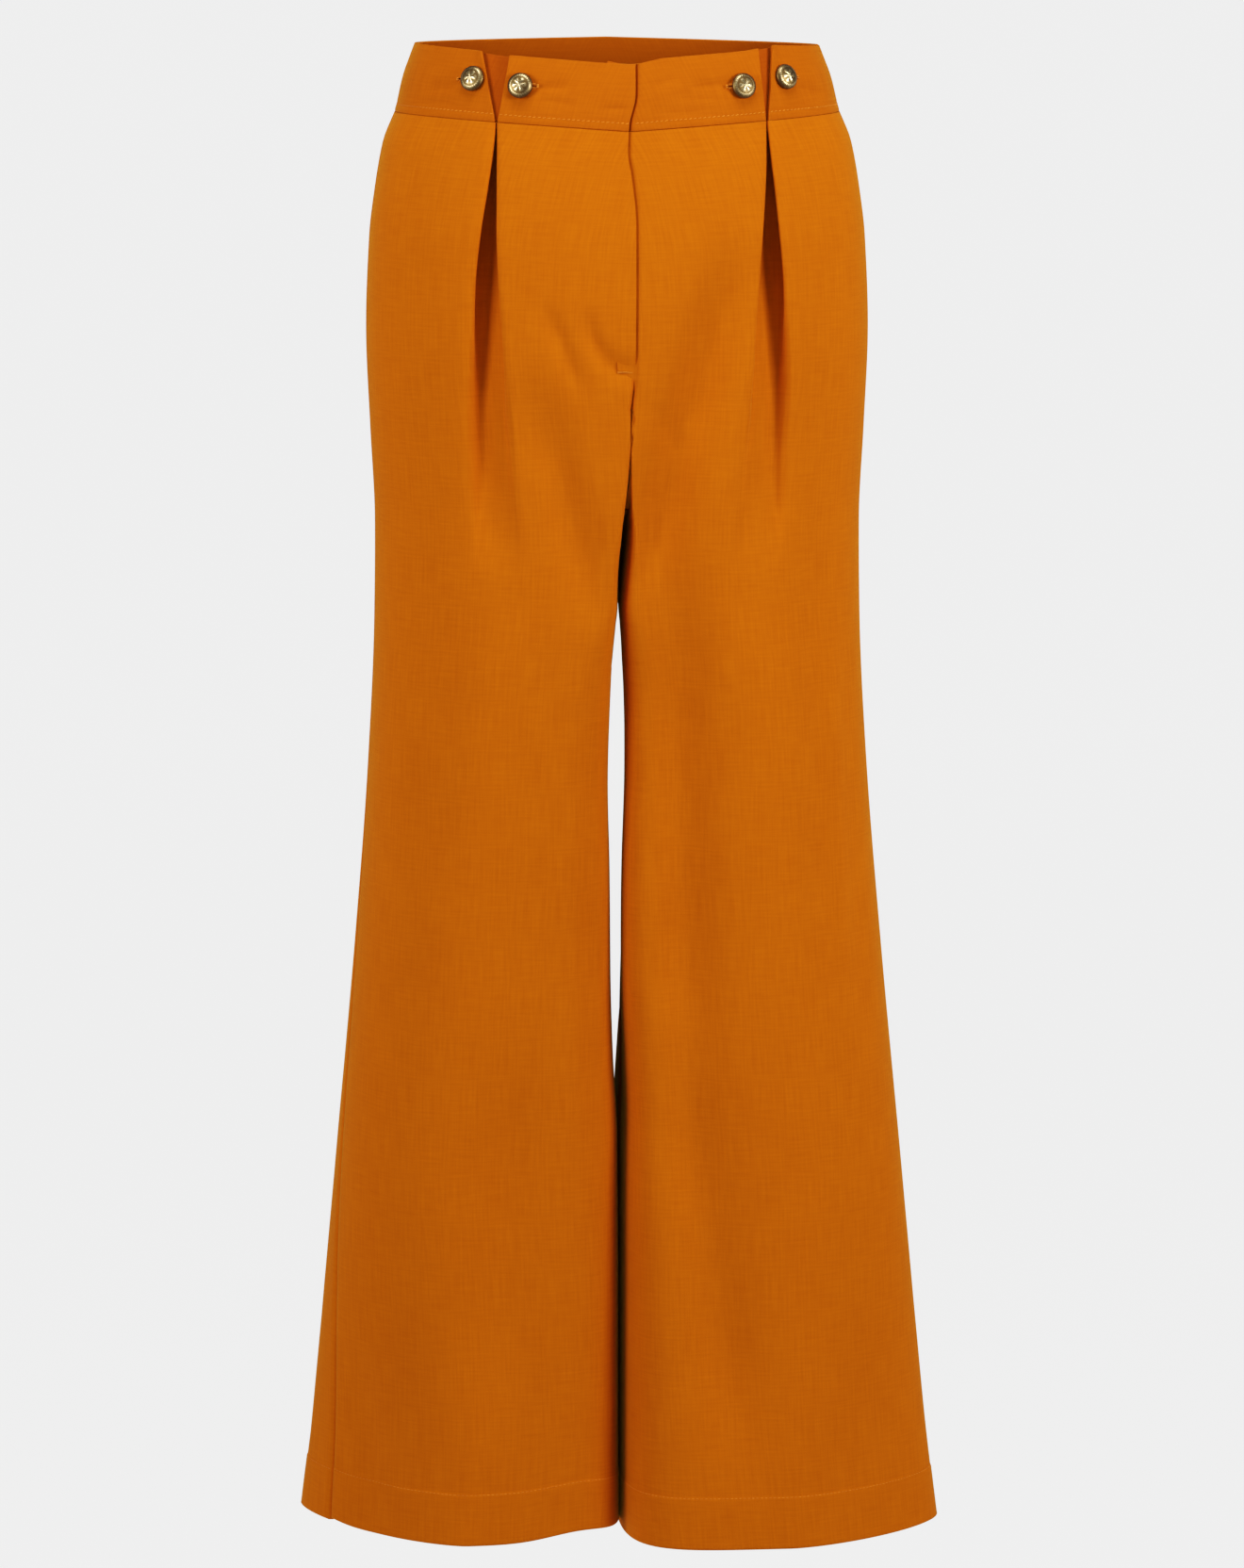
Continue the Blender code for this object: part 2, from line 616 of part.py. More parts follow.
def fly_strip(strip, material):
    """A strip of cloth behind the fly's edge."""
    points = []
    for height in np.linspace(SEAM_HEIGHT - 5 * SEAM, strip.foot, STRIP_ROWS):
        line = half_line(height, "front", "left")
        total = length_to_inner(line)
        at = np.linspace(total - strip.left, total - strip.right, STRIP_COLUMNS)
        flat = place(line, at, np.full(len(at), strip.layer * LAYER), True)
        fade = 1 - ease(SEAM_HEIGHT - height, 0.0, DIP_FADES)
        heights = [height - SEAM_DIP * towards_middle(out) * fade for out, _ in flat]
        points.append(to_space("left", flat, heights))
    return cloth_object(strip.name, points, CLOTH, material)


def band_frame(side, along, height):
    """A matrix at the band's face: X along the waist, Y up, Z straight out of the cloth."""
    nominal = height + SEAM_DIP * towards_middle(read(PLEAT_LINE, "out", height))
    line = half_line(nominal, "front", side)
    at = notch_middle(nominal, line) + along
    face = BAND_IN - BAND_CLOTH / 2
    level = place(line, [at - FRAME_REACH, at, at + FRAME_REACH], np.full(3, face), True)
    before, here, after = to_space(side, level, [height] * 3)
    above = place(half_line(nominal + FRAME_REACH, "front", side), [at], [face], True)
    lean = to_space(side, above, [height + FRAME_REACH])[0] - here
    across = (after - before).normalized() * -SIDES[side]
    outward = across.cross(lean).normalized()
    up = outward.cross(across)
    return Matrix.Translation(here) @ Matrix((across, up, outward)).transposed().to_4x4()


def button(spec, material):
    """A domed metal shank button, turned from its profile. Its shank goes through the band's buttonhole."""
    back = BUTTON_STANDS_OFF
    foot = -BAND_CLOTH
    profile = [(0.0, back + BUTTON_DOME)]
    for degrees in DOME_ANGLES:
        turn = math.radians(degrees)
        rise = BUTTON_EDGE + (BUTTON_DOME - BUTTON_EDGE) * math.cos(turn)
        profile.append((BUTTON_RADIUS * math.sin(turn), back + rise))
    profile += [
        (BUTTON_RADIUS * BUTTON_BACK, back),
        (SHANK_RADIUS, back),
        (SHANK_RADIUS, foot),
        (0.0, foot),
    ]
    mesh = bpy.data.meshes.new(spec.name)
    mesh.from_pydata([(x, 0.0, z) for x, z in profile], [(k, k + 1) for k in range(len(profile) - 1)], [])
    mesh.materials.append(material)
    turned = bpy.data.objects.new(spec.name, mesh)
    trousers.objects.link(turned)
    turned.matrix_world = band_frame(spec.side, spec.along, spec.height)
    screw = turned.modifiers.new("turned", "SCREW")
    screw.steps = screw.render_steps = BUTTON_STEPS
    screw.use_merge_vertices = True
    screw.merge_threshold = 0.00001
    return turned


def buttonhole(spec, band):
    """Cuts the band where the shank goes through. The hole runs away from the notch."""
    away = math.copysign(1.0, spec.along) * -SIDES[spec.side]
    bm = bmesh.new()
    bmesh.ops.create_cube(bm, size=1.0)
    bmesh.ops.scale(bm, verts=bm.verts, vec=(HOLE_LENGTH, HOLE_WIDTH, HOLE_DEPTH))
    upright = [edge for edge in bm.edges if abs(edge.verts[0].co.z - edge.verts[1].co.z) > HOLE_DEPTH / 2]
    bmesh.ops.bevel(bm, geom=upright, offset=HOLE_WIDTH * 0.49, segments=3, profile=0.5, affect="EDGES")
    shift = away * (HOLE_LENGTH / 2 - SHANK_RADIUS - HOLE_PAST_SHANK)
    bmesh.ops.translate(bm, verts=bm.verts, vec=(shift, 0.0, 0.0))
    mesh = bpy.data.meshes.new("hole_" + spec.name)
    bm.to_mesh(mesh)
    bm.free()
    cutter = bpy.data.objects.new("hole_" + spec.name, mesh)
    cutters.objects.link(cutter)
    cutter.matrix_world = band_frame(spec.side, spec.along, spec.height)
    cutter.display_type = "WIRE"
    cutter.hide_render = True
    cut = band.modifiers.new("buttonhole", "BOOLEAN")
    cut.operation = "DIFFERENCE"
    cut.solver = "EXACT"
    cut.object = cutter


def finish(name, colour, roughness, metallic=0.0):
    material = bpy.data.materials.new(name)
    material.use_nodes = True
    shader = material.node_tree.nodes["Principled BSDF"]
    shader.inputs["Base Color"].default_value = (*colour, 1.0)
    shader.inputs["Roughness"].default_value = roughness
    shader.inputs["Metallic"].default_value = metallic
    return material


for old in list(bpy.data.objects):
    bpy.data.objects.remove(old)
trousers = bpy.data.collections.new("trousers")
cutters = bpy.data.collections.new("cutters")
bpy.context.scene.collection.children.link(trousers)
bpy.context.scene.collection.children.link(cutters)

ochre = finish("ochre_cloth", (0.56, 0.16, 0.008), 0.85)
band_ochre = finish("band_cloth", (0.53, 0.15, 0.009), 0.85)
inner_ochre = finish("inner_cloth", (0.40, 0.10, 0.006), 0.9)
tape = finish("zip_tape", (0.42, 0.12, 0.008), 0.8)
brass = finish("antique_brass", (0.42, 0.33, 0.20), 0.35, 1.0)

bands = {}
for hand in SIDES:
    front_panel(hand, ochre)
    back_panel(hand, ochre)
    for piece in waistband(hand, band_ochre, inner_ochre):
        bands[piece.name] = piece

for strip, fabric in zip(FLY_STRIPS, (tape, inner_ochre)):
    fly_strip(strip, fabric)

for spec in BUTTONS:
    where = "side" if spec.along < 0 else "centre"
    button(spec, brass)
    buttonhole(spec, bands[f"band_{where}_{spec.side}"])
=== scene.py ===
"""Looks of a pair of ochre wide-leg trousers with pleats, a notched waistband and metal buttons.

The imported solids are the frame. Each piece of cloth here is a thin shell that keeps
close to its solid, in finer steps, with its creases, seams and sewing. The front
faces -Y, the wearer's left is +X, and the origin is the middle of the waist. A height
is measured up from the hem, and "out" is the distance from the middle plane. Lengths
are in metres.
"""

import math
from collections import namedtuple

import bmesh
import bpy
import numpy as np
from mathutils import Matrix, Vector


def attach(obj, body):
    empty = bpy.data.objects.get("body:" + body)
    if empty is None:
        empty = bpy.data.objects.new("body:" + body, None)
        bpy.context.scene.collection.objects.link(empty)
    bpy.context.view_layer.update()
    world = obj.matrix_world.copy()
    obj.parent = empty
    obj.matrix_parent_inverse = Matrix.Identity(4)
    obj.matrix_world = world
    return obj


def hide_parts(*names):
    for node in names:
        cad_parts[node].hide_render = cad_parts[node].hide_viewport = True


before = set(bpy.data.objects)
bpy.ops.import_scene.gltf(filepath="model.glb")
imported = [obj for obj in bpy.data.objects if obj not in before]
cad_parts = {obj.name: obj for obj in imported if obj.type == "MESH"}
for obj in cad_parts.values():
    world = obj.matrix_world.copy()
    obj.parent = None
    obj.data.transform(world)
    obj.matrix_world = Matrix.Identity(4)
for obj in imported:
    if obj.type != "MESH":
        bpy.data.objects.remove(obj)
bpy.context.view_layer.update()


# ---------------------------------------------------------------------------
# Fronts. Two panels of a fine, slubbed plain weave in ochre. Each is cut with an
# inverted pleat that is stitched shut under the band and falls open below it, and
# its hem is turned up inside and stitched. The right one ends in the fly's fold.

RIM_HEIGHT = 1.042
SEAM_HEIGHT = 0.9954
WAIST_HEIGHT = (RIM_HEIGHT + SEAM_HEIGHT) / 2
CROTCH_TOP_FRONT = 0.800
CROTCH_TOP_BACK = 0.850
FORK_HEIGHT = 0.720
CROTCH_FALL = {"front": 1.8, "back": 1.0}   # a seam that stays near the front's face for longer
HEM_DEPTH = 0.037
CLOTH = 0.0012
CLOTH_EDGE = CLOTH * 0.3
SEAM = 0.0003               # the gap between two pieces that are sewn together
LAYER = 0.0017              # from one layer of cloth to the next one behind it
SIDES = {"right": -1.0, "left": 1.0}
SIDE_LINE = 0.004

# The round of the trousers at each height: half its width, how far it reaches in
# front and behind, and how square the oval through those places is.
Girth = namedtuple("Girth", "height side front back square")
GIRTHS = (
    Girth(0.000, 0.2250, 0.0950, 0.0970, 1.42),
    Girth(0.070, 0.2166, 0.0940, 0.0960, 1.50),
    Girth(0.140, 0.2098, 0.0930, 0.0940, 1.66),
    Girth(0.277, 0.1969, 0.0925, 0.0925, 2.02),
    Girth(0.413, 0.1843, 0.0930, 0.0920, 2.05),
    Girth(0.547, 0.1740, 0.0955, 0.0970, 2.10),
    Girth(0.647, 0.1692, 0.1000, 0.1050, 2.16),
    Girth(0.714, 0.1683, 0.1035, 0.1125, 2.22),
    Girth(0.779, 0.1711, 0.1065, 0.1215, 2.28),
    Girth(0.845, 0.1735, 0.1085, 0.1280, 2.32),
    Girth(0.910, 0.1709, 0.1070, 0.1230, 2.34),
    Girth(0.942, 0.1670, 0.1045, 0.1165, 2.34),
    Girth(0.975, 0.1610, 0.1000, 0.1070, 2.32),
    Girth(0.986, 0.1570, 0.0980, 0.1035, 2.30),
    Girth(0.9954, 0.1528, 0.0965, 0.1010, 2.30),
    Girth(1.020, 0.1467, 0.0930, 0.0965, 2.28),
    Girth(1.033, 0.1420, 0.0905, 0.0935, 2.26),
    Girth(1.042, 0.1385, 0.0885, 0.0915, 2.25),
)

# Each leg below the crotch: how far out its foremost and rearmost places are, half
# the space between the legs, and how far back the inseam is.
Leg = namedtuple("Leg", "height front_peak back_peak space inseam")
LEGS = (
    Leg(0.000, 0.1125, 0.1125, 0.0008, 0.002),
    Leg(0.277, 0.0985, 0.0985, 0.0011, 0.002),
    Leg(0.345, 0.0960, 0.0960, 0.0029, 0.003),
    Leg(0.480, 0.0910, 0.0910, 0.0050, 0.005),
    Leg(0.547, 0.0840, 0.0860, 0.0064, 0.006),
    Leg(0.614, 0.0640, 0.0780, 0.0056, 0.008),
    Leg(0.647, 0.0440, 0.0690, 0.0028, 0.009),
    Leg(0.662, 0.0350, 0.0630, 0.0010, 0.010),
    Leg(0.680, 0.0260, 0.0560, 0.0008, 0.011),
    Leg(0.720, 0.0110, 0.0380, 0.0008, 0.012),
    Leg(0.760, 0.0040, 0.0210, 0.0008, 0.012),
    Leg(0.800, 0.0010, 0.0090, 0.0008, 0.012),
    Leg(0.850, 0.0000, 0.0014, 0.0008, 0.012),
)
Slant = namedtuple("Slant", "height right right_deep left left_deep")
SLANTS = (                  # shifts of the legs' inner edges in front, and from there back to the inseams
    Slant(0.000, 0.0022, 0.0000, -0.0022, 0.0000),
    Slant(0.290, 0.0022, 0.0000, -0.0022, 0.0000),
    Slant(0.345, 0.0030, 0.0000, -0.0060, 0.0050),
    Slant(0.400, 0.0036, 0.0000, -0.0106, 0.0130),
    Slant(0.480, 0.0034, 0.0000, -0.0126, 0.0168),
    Slant(0.614, 0.0040, -0.0006, -0.0130, 0.0166),
    Slant(0.647, 0.0052, -0.0030, -0.0100, 0.0104),
    Slant(0.680, 0.0058, -0.0054, -0.0076, 0.0066),
    Slant(0.720, 0.0040, -0.0040, -0.0040, 0.0040),
    Slant(0.760, 0.0012, -0.0012, -0.0012, 0.0012),
    Slant(0.800, 0.0000, 0.0000, 0.0000, 0.0000),
)
Square = namedtuple("Square", "height right left back")
INNER_SQUARES = (           # how square the turns in to the inseam are, on each front and on the backs
    Square(0.000, 4.4, 4.6, 4.5),
    Square(0.200, 4.6, 4.8, 3.6),
    Square(0.400, 6.0, 5.2, 2.4),
    Square(0.600, 7.0, 5.4, 2.2),
    Square(0.660, 8.0, 8.0, 2.2),
)
ROUNDING = 0.006

# How far back each leg stands, and how far its side seam then moves back and its
# inseam forward.
Stance = namedtuple("Stance", "height right_back left_back right_lean left_lean")
STANCES = (
    Stance(0.000, 0.0108, -0.0144, 0.0170, -0.0240),
    Stance(0.350, 0.0054, -0.0072, 0.0085, -0.0120),
    Stance(0.650, 0.0000, 0.0000, 0.0000, 0.0000),
    Stance(0.720, 0.0000, 0.0000, 0.0000, 0.0000),
)

# How far round to the front the right side seam and the left inseam have turned.
Twist = namedtuple("Twist", "height right_side left_inseam")
TWISTS = (
    Twist(0.000, 0.047, 0.024),
    Twist(0.300, 0.021, 0.034),
    Twist(0.500, 0.006, 0.016),
    Twist(0.620, 0.000, 0.000),
    Twist(0.720, 0.000, 0.000),
)

# The pleats at each drop below the band: half the gap between the folded edges, how
# far the cloth runs in behind them, how deep the fold is, and the share to which it
# has opened.
Pleat = namedtuple("Pleat", "drop gap tuck recess opened")
PLEATS = (
    Pleat(0.000, 0.0008, 0.0120, 0.0050, 0.00),
    Pleat(0.011, 0.0014, 0.0115, 0.0080, 0.00),
    Pleat(0.031, 0.0027, 0.0105, 0.0125, 0.00),
    Pleat(0.051, 0.0044, 0.0095, 0.0150, 0.00),
    Pleat(0.077, 0.0066, 0.0085, 0.0170, 0.00),
    Pleat(0.104, 0.0087, 0.0070, 0.0180, 0.05),
    Pleat(0.131, 0.0102, 0.0055, 0.0165, 0.18),
    Pleat(0.164, 0.0116, 0.0040, 0.0150, 0.45),
    Pleat(0.198, 0.0122, 0.0020, 0.0118, 0.82),
    Pleat(0.240, 0.0130, 0.0010, 0.0070, 1.00),
    Pleat(0.310, 0.0170, 0.0000, 0.0000, 1.00),
)
PLEAT_WIDTH = {"right": 0.92, "left": 1.04}
PLEAT_SHOULDER = 0.005
FOLDED_SHARE = 0.6          # where the folded section's floor meets its walls
INNER_RECESS = 0.85         # the pleat is shallower towards the fly
Opened = namedtuple("Opened", "aside deep")
OPENED_SECTION = (
    Opened(-1.00, 0.00), Opened(-0.84, 0.30), Opened(-0.72, 0.74), Opened(-0.56, 1.00),
    Opened(-0.30, 0.98), Opened(0.00, 0.86), Opened(0.30, 0.76), Opened(0.56, 0.66),
    Opened(0.72, 0.40), Opened(0.86, 0.14), Opened(1.04, 0.00),
)
NOTCH_FOOT = 0.0008
PleatLine = namedtuple("PleatLine", "height right left")
PLEAT_LINE = (
    PleatLine(0.700, 0.0905, 0.0895),
    PleatLine(0.764, 0.0940, 0.0925),
    PleatLine(0.797, 0.0960, 0.0955),
    PleatLine(0.830, 0.0968, 0.0972),
    PleatLine(0.883, 0.0970, 0.0972),
    PleatLine(0.915, 0.0958, 0.0966),
    PleatLine(0.950, 0.0928, 0.0960),
    PleatLine(0.9954, 0.0893, 0.0944),
    PleatLine(1.042, 0.0884, 0.0935),
)

# The fly at each height: how far the fold runs past the middle plane, how far the
# left front laps on behind it, and how deep it lies there.
Fly = namedtuple("Fly", "height edge lap under")
FLY = (
    Fly(0.800, 0.0000, 0.0000, 0.0),
    Fly(0.812, 0.0012, 0.0000, LAYER),
    Fly(0.824, 0.0026, 0.0120, LAYER),
    Fly(0.930, 0.0032, 0.0170, LAYER),
    Fly(0.965, 0.0004, 0.0160, LAYER),
    Fly(0.980, -0.0018, 0.0150, LAYER),
    Fly(1.000, -0.0004, 0.0160, LAYER),
    Fly(1.020, 0.0040, 0.0190, LAYER),
    Fly(1.042, 0.0044, 0.0190, LAYER),
)
FLY_STEP = 0.0034
FLY_TUCK = 0.0010
FLY_REACH = 0.040
SEAM_DIP = 0.0106           # the band's lower seam dips this far at the middle of the front
BACK_RISE = 0.0025
SIDE_OUT = 0.1528
DIP_FADES = 0.16
INNER_STRIP = 0.005
CORNER_TURN = math.radians(38)
SPREAD_FROM = 0.70
SPREAD_TO = 0.40
QUARTER_STEPS = 120
TWIST_STEPS = 30
PROBE = 0.001
POINT_GAP = 0.0001

# How finely a panel is made, how its edges roll in at a seam, and how far the
# doubled hem stands proud.
ROW_STEP = 0.0055
PLEAT_STEPS = 4
SIDE_COLUMNS = 18
CENTRE_COLUMNS = 30
INNER_COLUMNS = 8
EDGE_STEPS = (0.0, 0.0005, 0.0011, 0.0022)
EDGE_ROLL = 0.0028
EDGE_ROLL_WIDTH = 0.0021
FOLD_ROLL_SHARE = 0.12      # the fly's edge is a fold and rolls less than a seam does
ROLL_FADES = 0.010          # the roll fades over this height where the crotch's edges turn in
HEM_STANDS = 0.0005
HEM_EASES = 0.001
HEM_ROWS = 7
HEM_EDGE_STEPS = (0.0012, 0.0004, -0.0004, -0.0012)
HemLift = namedtuple("HemLift", "side out width rise fades")
HEM_LIFTS = (
    HemLift("right", 0.030, 0.036, 0.0080, 0.16),
    HemLift("right", 0.215, 0.016, 0.0026, 0.10),
)

# Creases: where each starts and ends, its half width and its depth. Each fades in and
# out over these shares of its length.
FADE_IN = (-0.25, 0.3)
FADE_OUT = (0.7, 1.25)
Fold = namedtuple("Fold", "side out_top top out_foot foot width depth")
FRONT_FOLDS = (
    Fold("left", 0.066, 0.880, 0.014, 0.690, 0.019, 0.0130),
    Fold("left", 0.026, 0.690, 0.040, 0.300, 0.026, 0.0165),
    Fold("left", 0.036, 0.320, 0.074, 0.080, 0.024, 0.0100),
    Fold("left", 0.128, 0.700, 0.136, 0.420, 0.012, 0.0034),
    Fold("left", 0.152, 0.640, 0.164, 0.380, 0.009, 0.0024),
    Fold("left", 0.010, 0.806, 0.034, 0.770, 0.008, 0.0016),
    Fold("left", 0.110, 0.790, 0.104, 0.720, 0.009, 0.0022),
    Fold("right", 0.062, 0.800, 0.028, 0.670, 0.016, 0.0070),
    Fold("right", 0.0575, 0.866, 0.0366, 0.815, 0.006, 0.0030),
    Fold("right", 0.024, 0.600, 0.020, 0.260, 0.014, 0.0056),
    Fold("right", 0.120, 0.640, 0.140, 0.480, 0.020, 0.0034),
    Fold("right", 0.080, 0.330, 0.095, 0.100, 0.024, 0.0044),
    Fold("right", 0.186, 0.120, 0.176, 0.010, 0.011, 0.0022),
    Fold("right", 0.096, 0.780, 0.090, 0.700, 0.009, 0.0024),
)

# The fly's stitching: its distance from the folded edge, and where it curves in.
FLY_STITCH = 0.034
FLY_CURVES_FROM = 0.8625
FLY_STITCH_FOOT = 0.8215
FACING_STANDS = 0.0003
FACING_EDGE = 0.001
FLY_PUCKER = 0.0034
FLY_PUCKER_WIDTH = 0.0050
FLY_PUCKER_INSIDE = 0.002   # the pucker lies this far inside the stitching
FLY_PUCKER_FROM = FLY_CURVES_FROM + 0.012
FLY_PUCKER_FULL = FLY_CURVES_FROM - 0.018
FLY_PUCKER_ABOVE = 0.0002


def between(start, end, leaving, arriving, span, t):
    """The place at share t of a smooth curve over a span, with its slope at each end."""
    return (
        start * (1 + 2 * t) * (1 - t) ** 2
        + end * (3 - 2 * t) * t ** 2
        + span * (leaving * t * (1 - t) ** 2 - arriving * t ** 2 * (1 - t))
    )


def read(table, column, at):
    """The value of a table's column at a place in its first column, on a smooth line through its rows."""
    places = [row[0] for row in table]
    values = [getattr(row, column) for row in table]
    at = min(max(at, places[0]), places[-1])
    steps = [b - a for a, b in zip(places, places[1:])]
    rises = [(b - a) / step for a, b, step in zip(values, values[1:], steps)]
    slopes = [rises[0]]
    for before, after in zip(rises, rises[1:]):
        turning = before * after <= 0
        slopes.append(0.0 if turning else 2 * before * after / (before + after))
    slopes.append(rises[-1])
    k = min(int(np.searchsorted(places, at, side="right")) - 1, len(steps) - 1)
    share = (at - places[k]) / steps[k]
    return between(values[k], values[k + 1], slopes[k], slopes[k + 1], steps[k], share)


def ease(value, start, end):
    """0 before start, 1 past end, and a smooth rise between them, for a number or an array."""
    t = np.clip((np.asarray(value, float) - start) / (end - start), 0.0, 1.0)
    return t * t * (3 - 2 * t)


def half_line(height, facing, side):
    """The cloth's line at a height, from the side to the middle plane or the inseam, as (out, y) points."""
    back = read(STANCES, side + "_back", height)
    lean = read(STANCES, side + "_lean", height)
    side_y = SIDE_LINE + lean
    front = facing == "front"
    widest = read(GIRTHS, "side", height)
    depth = read(GIRTHS, facing, height)
    square = read(GIRTHS, "square", height)
    sign = -1.0 if front else 1.0
    top = CROTCH_TOP_FRONT if front else CROTCH_TOP_BACK
    peak = read(LEGS, facing + "_peak", height) if height < top else 0.0
    turn = np.linspace(math.pi / 2, 0.0, QUARTER_STEPS)
    outward, forward = np.sin(turn) ** (2 / square), np.cos(turn) ** (2 / square)
    wide, deep = widest - peak - ROUNDING, abs(sign * depth - side_y) - ROUNDING
    normal = np.column_stack((outward, forward)) ** (square - 1) / (wide, deep)
    normal /= np.linalg.norm(normal, axis=1)[:, None]
    out = peak + wide * outward + ROUNDING * normal[:, 0]
    y = side_y + sign * (deep * forward + ROUNDING * normal[:, 1])
    if height < top:
        space = read(LEGS, "space", height)
        inseam = read(LEGS, "inseam", height) - lean
        fall = min((top - height) / (top - FORK_HEIGHT), 1.0) ** CROTCH_FALL[facing]
        edge = inseam + (sign * depth - inseam) * math.sqrt(1 - fall * fall)
        turn = np.linspace(0.0, math.pi / 2, QUARTER_STEPS)[1:]
        power = 2 / read(INNER_SQUARES, side if front else "back", height)
        space = space + read(SLANTS, side, height)
        deep = read(SLANTS, side + "_deep", height)
        inner = space + deep * (1 - np.cos(turn) ** power) ** 2 if front else space + deep
        out = np.append(out, peak - (peak - inner) * np.sin(turn) ** power)
        y = np.append(y, edge + (sign * depth - edge) * np.cos(turn) ** power)
    elif front:
        beyond = (out > POINT_GAP) & (out < FLY_REACH)
        out, y = np.append(out, -out[beyond][::-1]), np.append(y, y[beyond][::-1])
    return np.column_stack((out, y + back))


def lengths_along(line):
    return np.append(0.0, np.cumsum(np.hypot(*np.diff(line, axis=0).T)))


def length_to_inner(line, height):
    """Length from the side to the middle plane, or to the line's inner end below the crotch."""
    if height >= CROTCH_TOP_FRONT and line[-1, 0] < 0:
        return float(np.interp(0.0, -line[:, 0], lengths_along(line)))
    return float(lengths_along(line)[-1])


def place(line, at, inward, clockwise):
    """Points at lengths along a line, moved in from it. Past its ends the line runs on straight."""
    along = lengths_along(line)

    def spot(where):
        kept = np.clip(where, 0.0, along[-1])
        points = np.column_stack([np.interp(kept, along, line[:, k]) for k in (0, 1)])
        first = (line[1] - line[0]) / np.linalg.norm(line[1] - line[0])
        last = (line[-1] - line[-2]) / np.linalg.norm(line[-1] - line[-2])
        return points + np.outer(where - kept, [1, 1]) * np.where((where < 0)[:, None], first, last)

    at = np.asarray(at, float)
    tangent = spot(at + PROBE) - spot(at - PROBE)
    tangent /= np.linalg.norm(tangent, axis=1)[:, None]
    normal = np.column_stack((tangent[:, 1], -tangent[:, 0])) * (1.0 if clockwise else -1.0)
    return spot(at) + normal * np.asarray(inward, float)[:, None]


def panel_line(height, facing, side):
    """A panel's line from its side seam to its inner edge, with each seam where the legs' twist puts it."""
    front, back = half_line(height, "front", side), half_line(height, "back", side)
    front_length = lengths_along(front)[-1]
    at_side = read(TWISTS, "right_side", height) if side == "right" else 0.0
    at_inseam = read(TWISTS, "left_inseam", height) if side == "left" else 0.0
    if facing == "front" and at_side + at_inseam == 0:
        return front
    if facing == "front":
        count = 2 * QUARTER_STEPS
        return place(front, np.linspace(at_side, front_length - at_inseam, count), np.zeros(count), True)
    pieces = [back]
    if at_side > 0:
        steps = np.linspace(at_side, 0.0, TWIST_STEPS, endpoint=False)
        pieces.insert(0, place(front, steps, np.zeros(len(steps)), True))
    if at_inseam > 0:
        steps = front_length - np.linspace(0.0, at_inseam, TWIST_STEPS + 1)[1:]
        pieces.append(place(front, steps, np.zeros(len(steps)), True))
    return np.vstack(pieces)


def length_at_out(line, out):
    """Length along the outer part of a line, from the side to the place that is this far out."""
    outer = line[:QUARTER_STEPS]
    return float(np.interp(-out, -outer[:, 0], lengths_along(line)[:QUARTER_STEPS]))


def corner_length(height, facing, line):
    """Length along a line to where it turns in between the legs."""
    inner = length_to_inner(line, height)
    top = CROTCH_TOP_FRONT if facing == "front" else CROTCH_TOP_BACK
    if height >= top:
        return inner - INNER_STRIP
    turned = QUARTER_STEPS - 1 + round((QUARTER_STEPS - 1) * CORNER_TURN / (math.pi / 2))
    return min(float(lengths_along(line)[turned]), inner - INNER_STRIP)


def rounded(knots, steps):
    """Points on a smooth curve through the knots, with this many steps between each two."""
    knots = np.asarray(knots, float)
    gaps = np.sqrt(np.linalg.norm(np.diff(knots, axis=0), axis=1)) + 1e-9
    slopes = np.diff(knots, axis=0) / gaps[:, None]
    across = (knots[2:] - knots[:-2]) / (gaps[1:] + gaps[:-1])[:, None]
    tangents = np.vstack((slopes[:1], slopes[:-1] + slopes[1:] - across, slopes[-1:]))
    shares = np.linspace(0.0, 1.0, steps, endpoint=False)[:, None]
    points = [
        between(knots[k], knots[k + 1], tangents[k], tangents[k + 1], gap, shares)
        for k, gap in enumerate(gaps)
    ]
    return np.vstack(points + [knots[-1:]])


def pleat_section(height, side):
    """A pleat's whole section at a height, as (distance from its middle, inward) from the side to the fly."""
    drop = SEAM_HEIGHT - height
    gap = read(PLEATS, "gap", drop) * PLEAT_WIDTH[side] + NOTCH_FOOT * (1 - PLEAT_WIDTH[side])
    recess = read(PLEATS, "recess", drop)
    opened = read(PLEATS, "opened", drop)
    nose = LAYER / 2
    deep = gap + max(read(PLEATS, "tuck", drop), 2 * nose)
    near, far = recess * INNER_RECESS, recess
    folded = [
        (-gap - nose, 0.0), (-gap, nose), (-gap - nose, LAYER), (-deep, (LAYER + far) / 2),
        (-gap * FOLDED_SHARE, far), (0.0, (near + far) / 2), (gap * FOLDED_SHARE, near),
        (deep, (LAYER + near) / 2), (gap + nose, LAYER), (gap, nose), (gap + nose, 0.0),
    ]
    wide = gap + PLEAT_SHOULDER
    knots = [
        (a + (wide * row.aside - a) * opened, n + (recess * row.deep - n) * opened)
        for (a, n), row in zip(folded, OPENED_SECTION)
    ]
    return rounded(knots, PLEAT_STEPS)


def spaced(start, end, count):
    """Places strictly between two, evenly."""
    return np.linspace(start, end, count + 1)[1:-1]


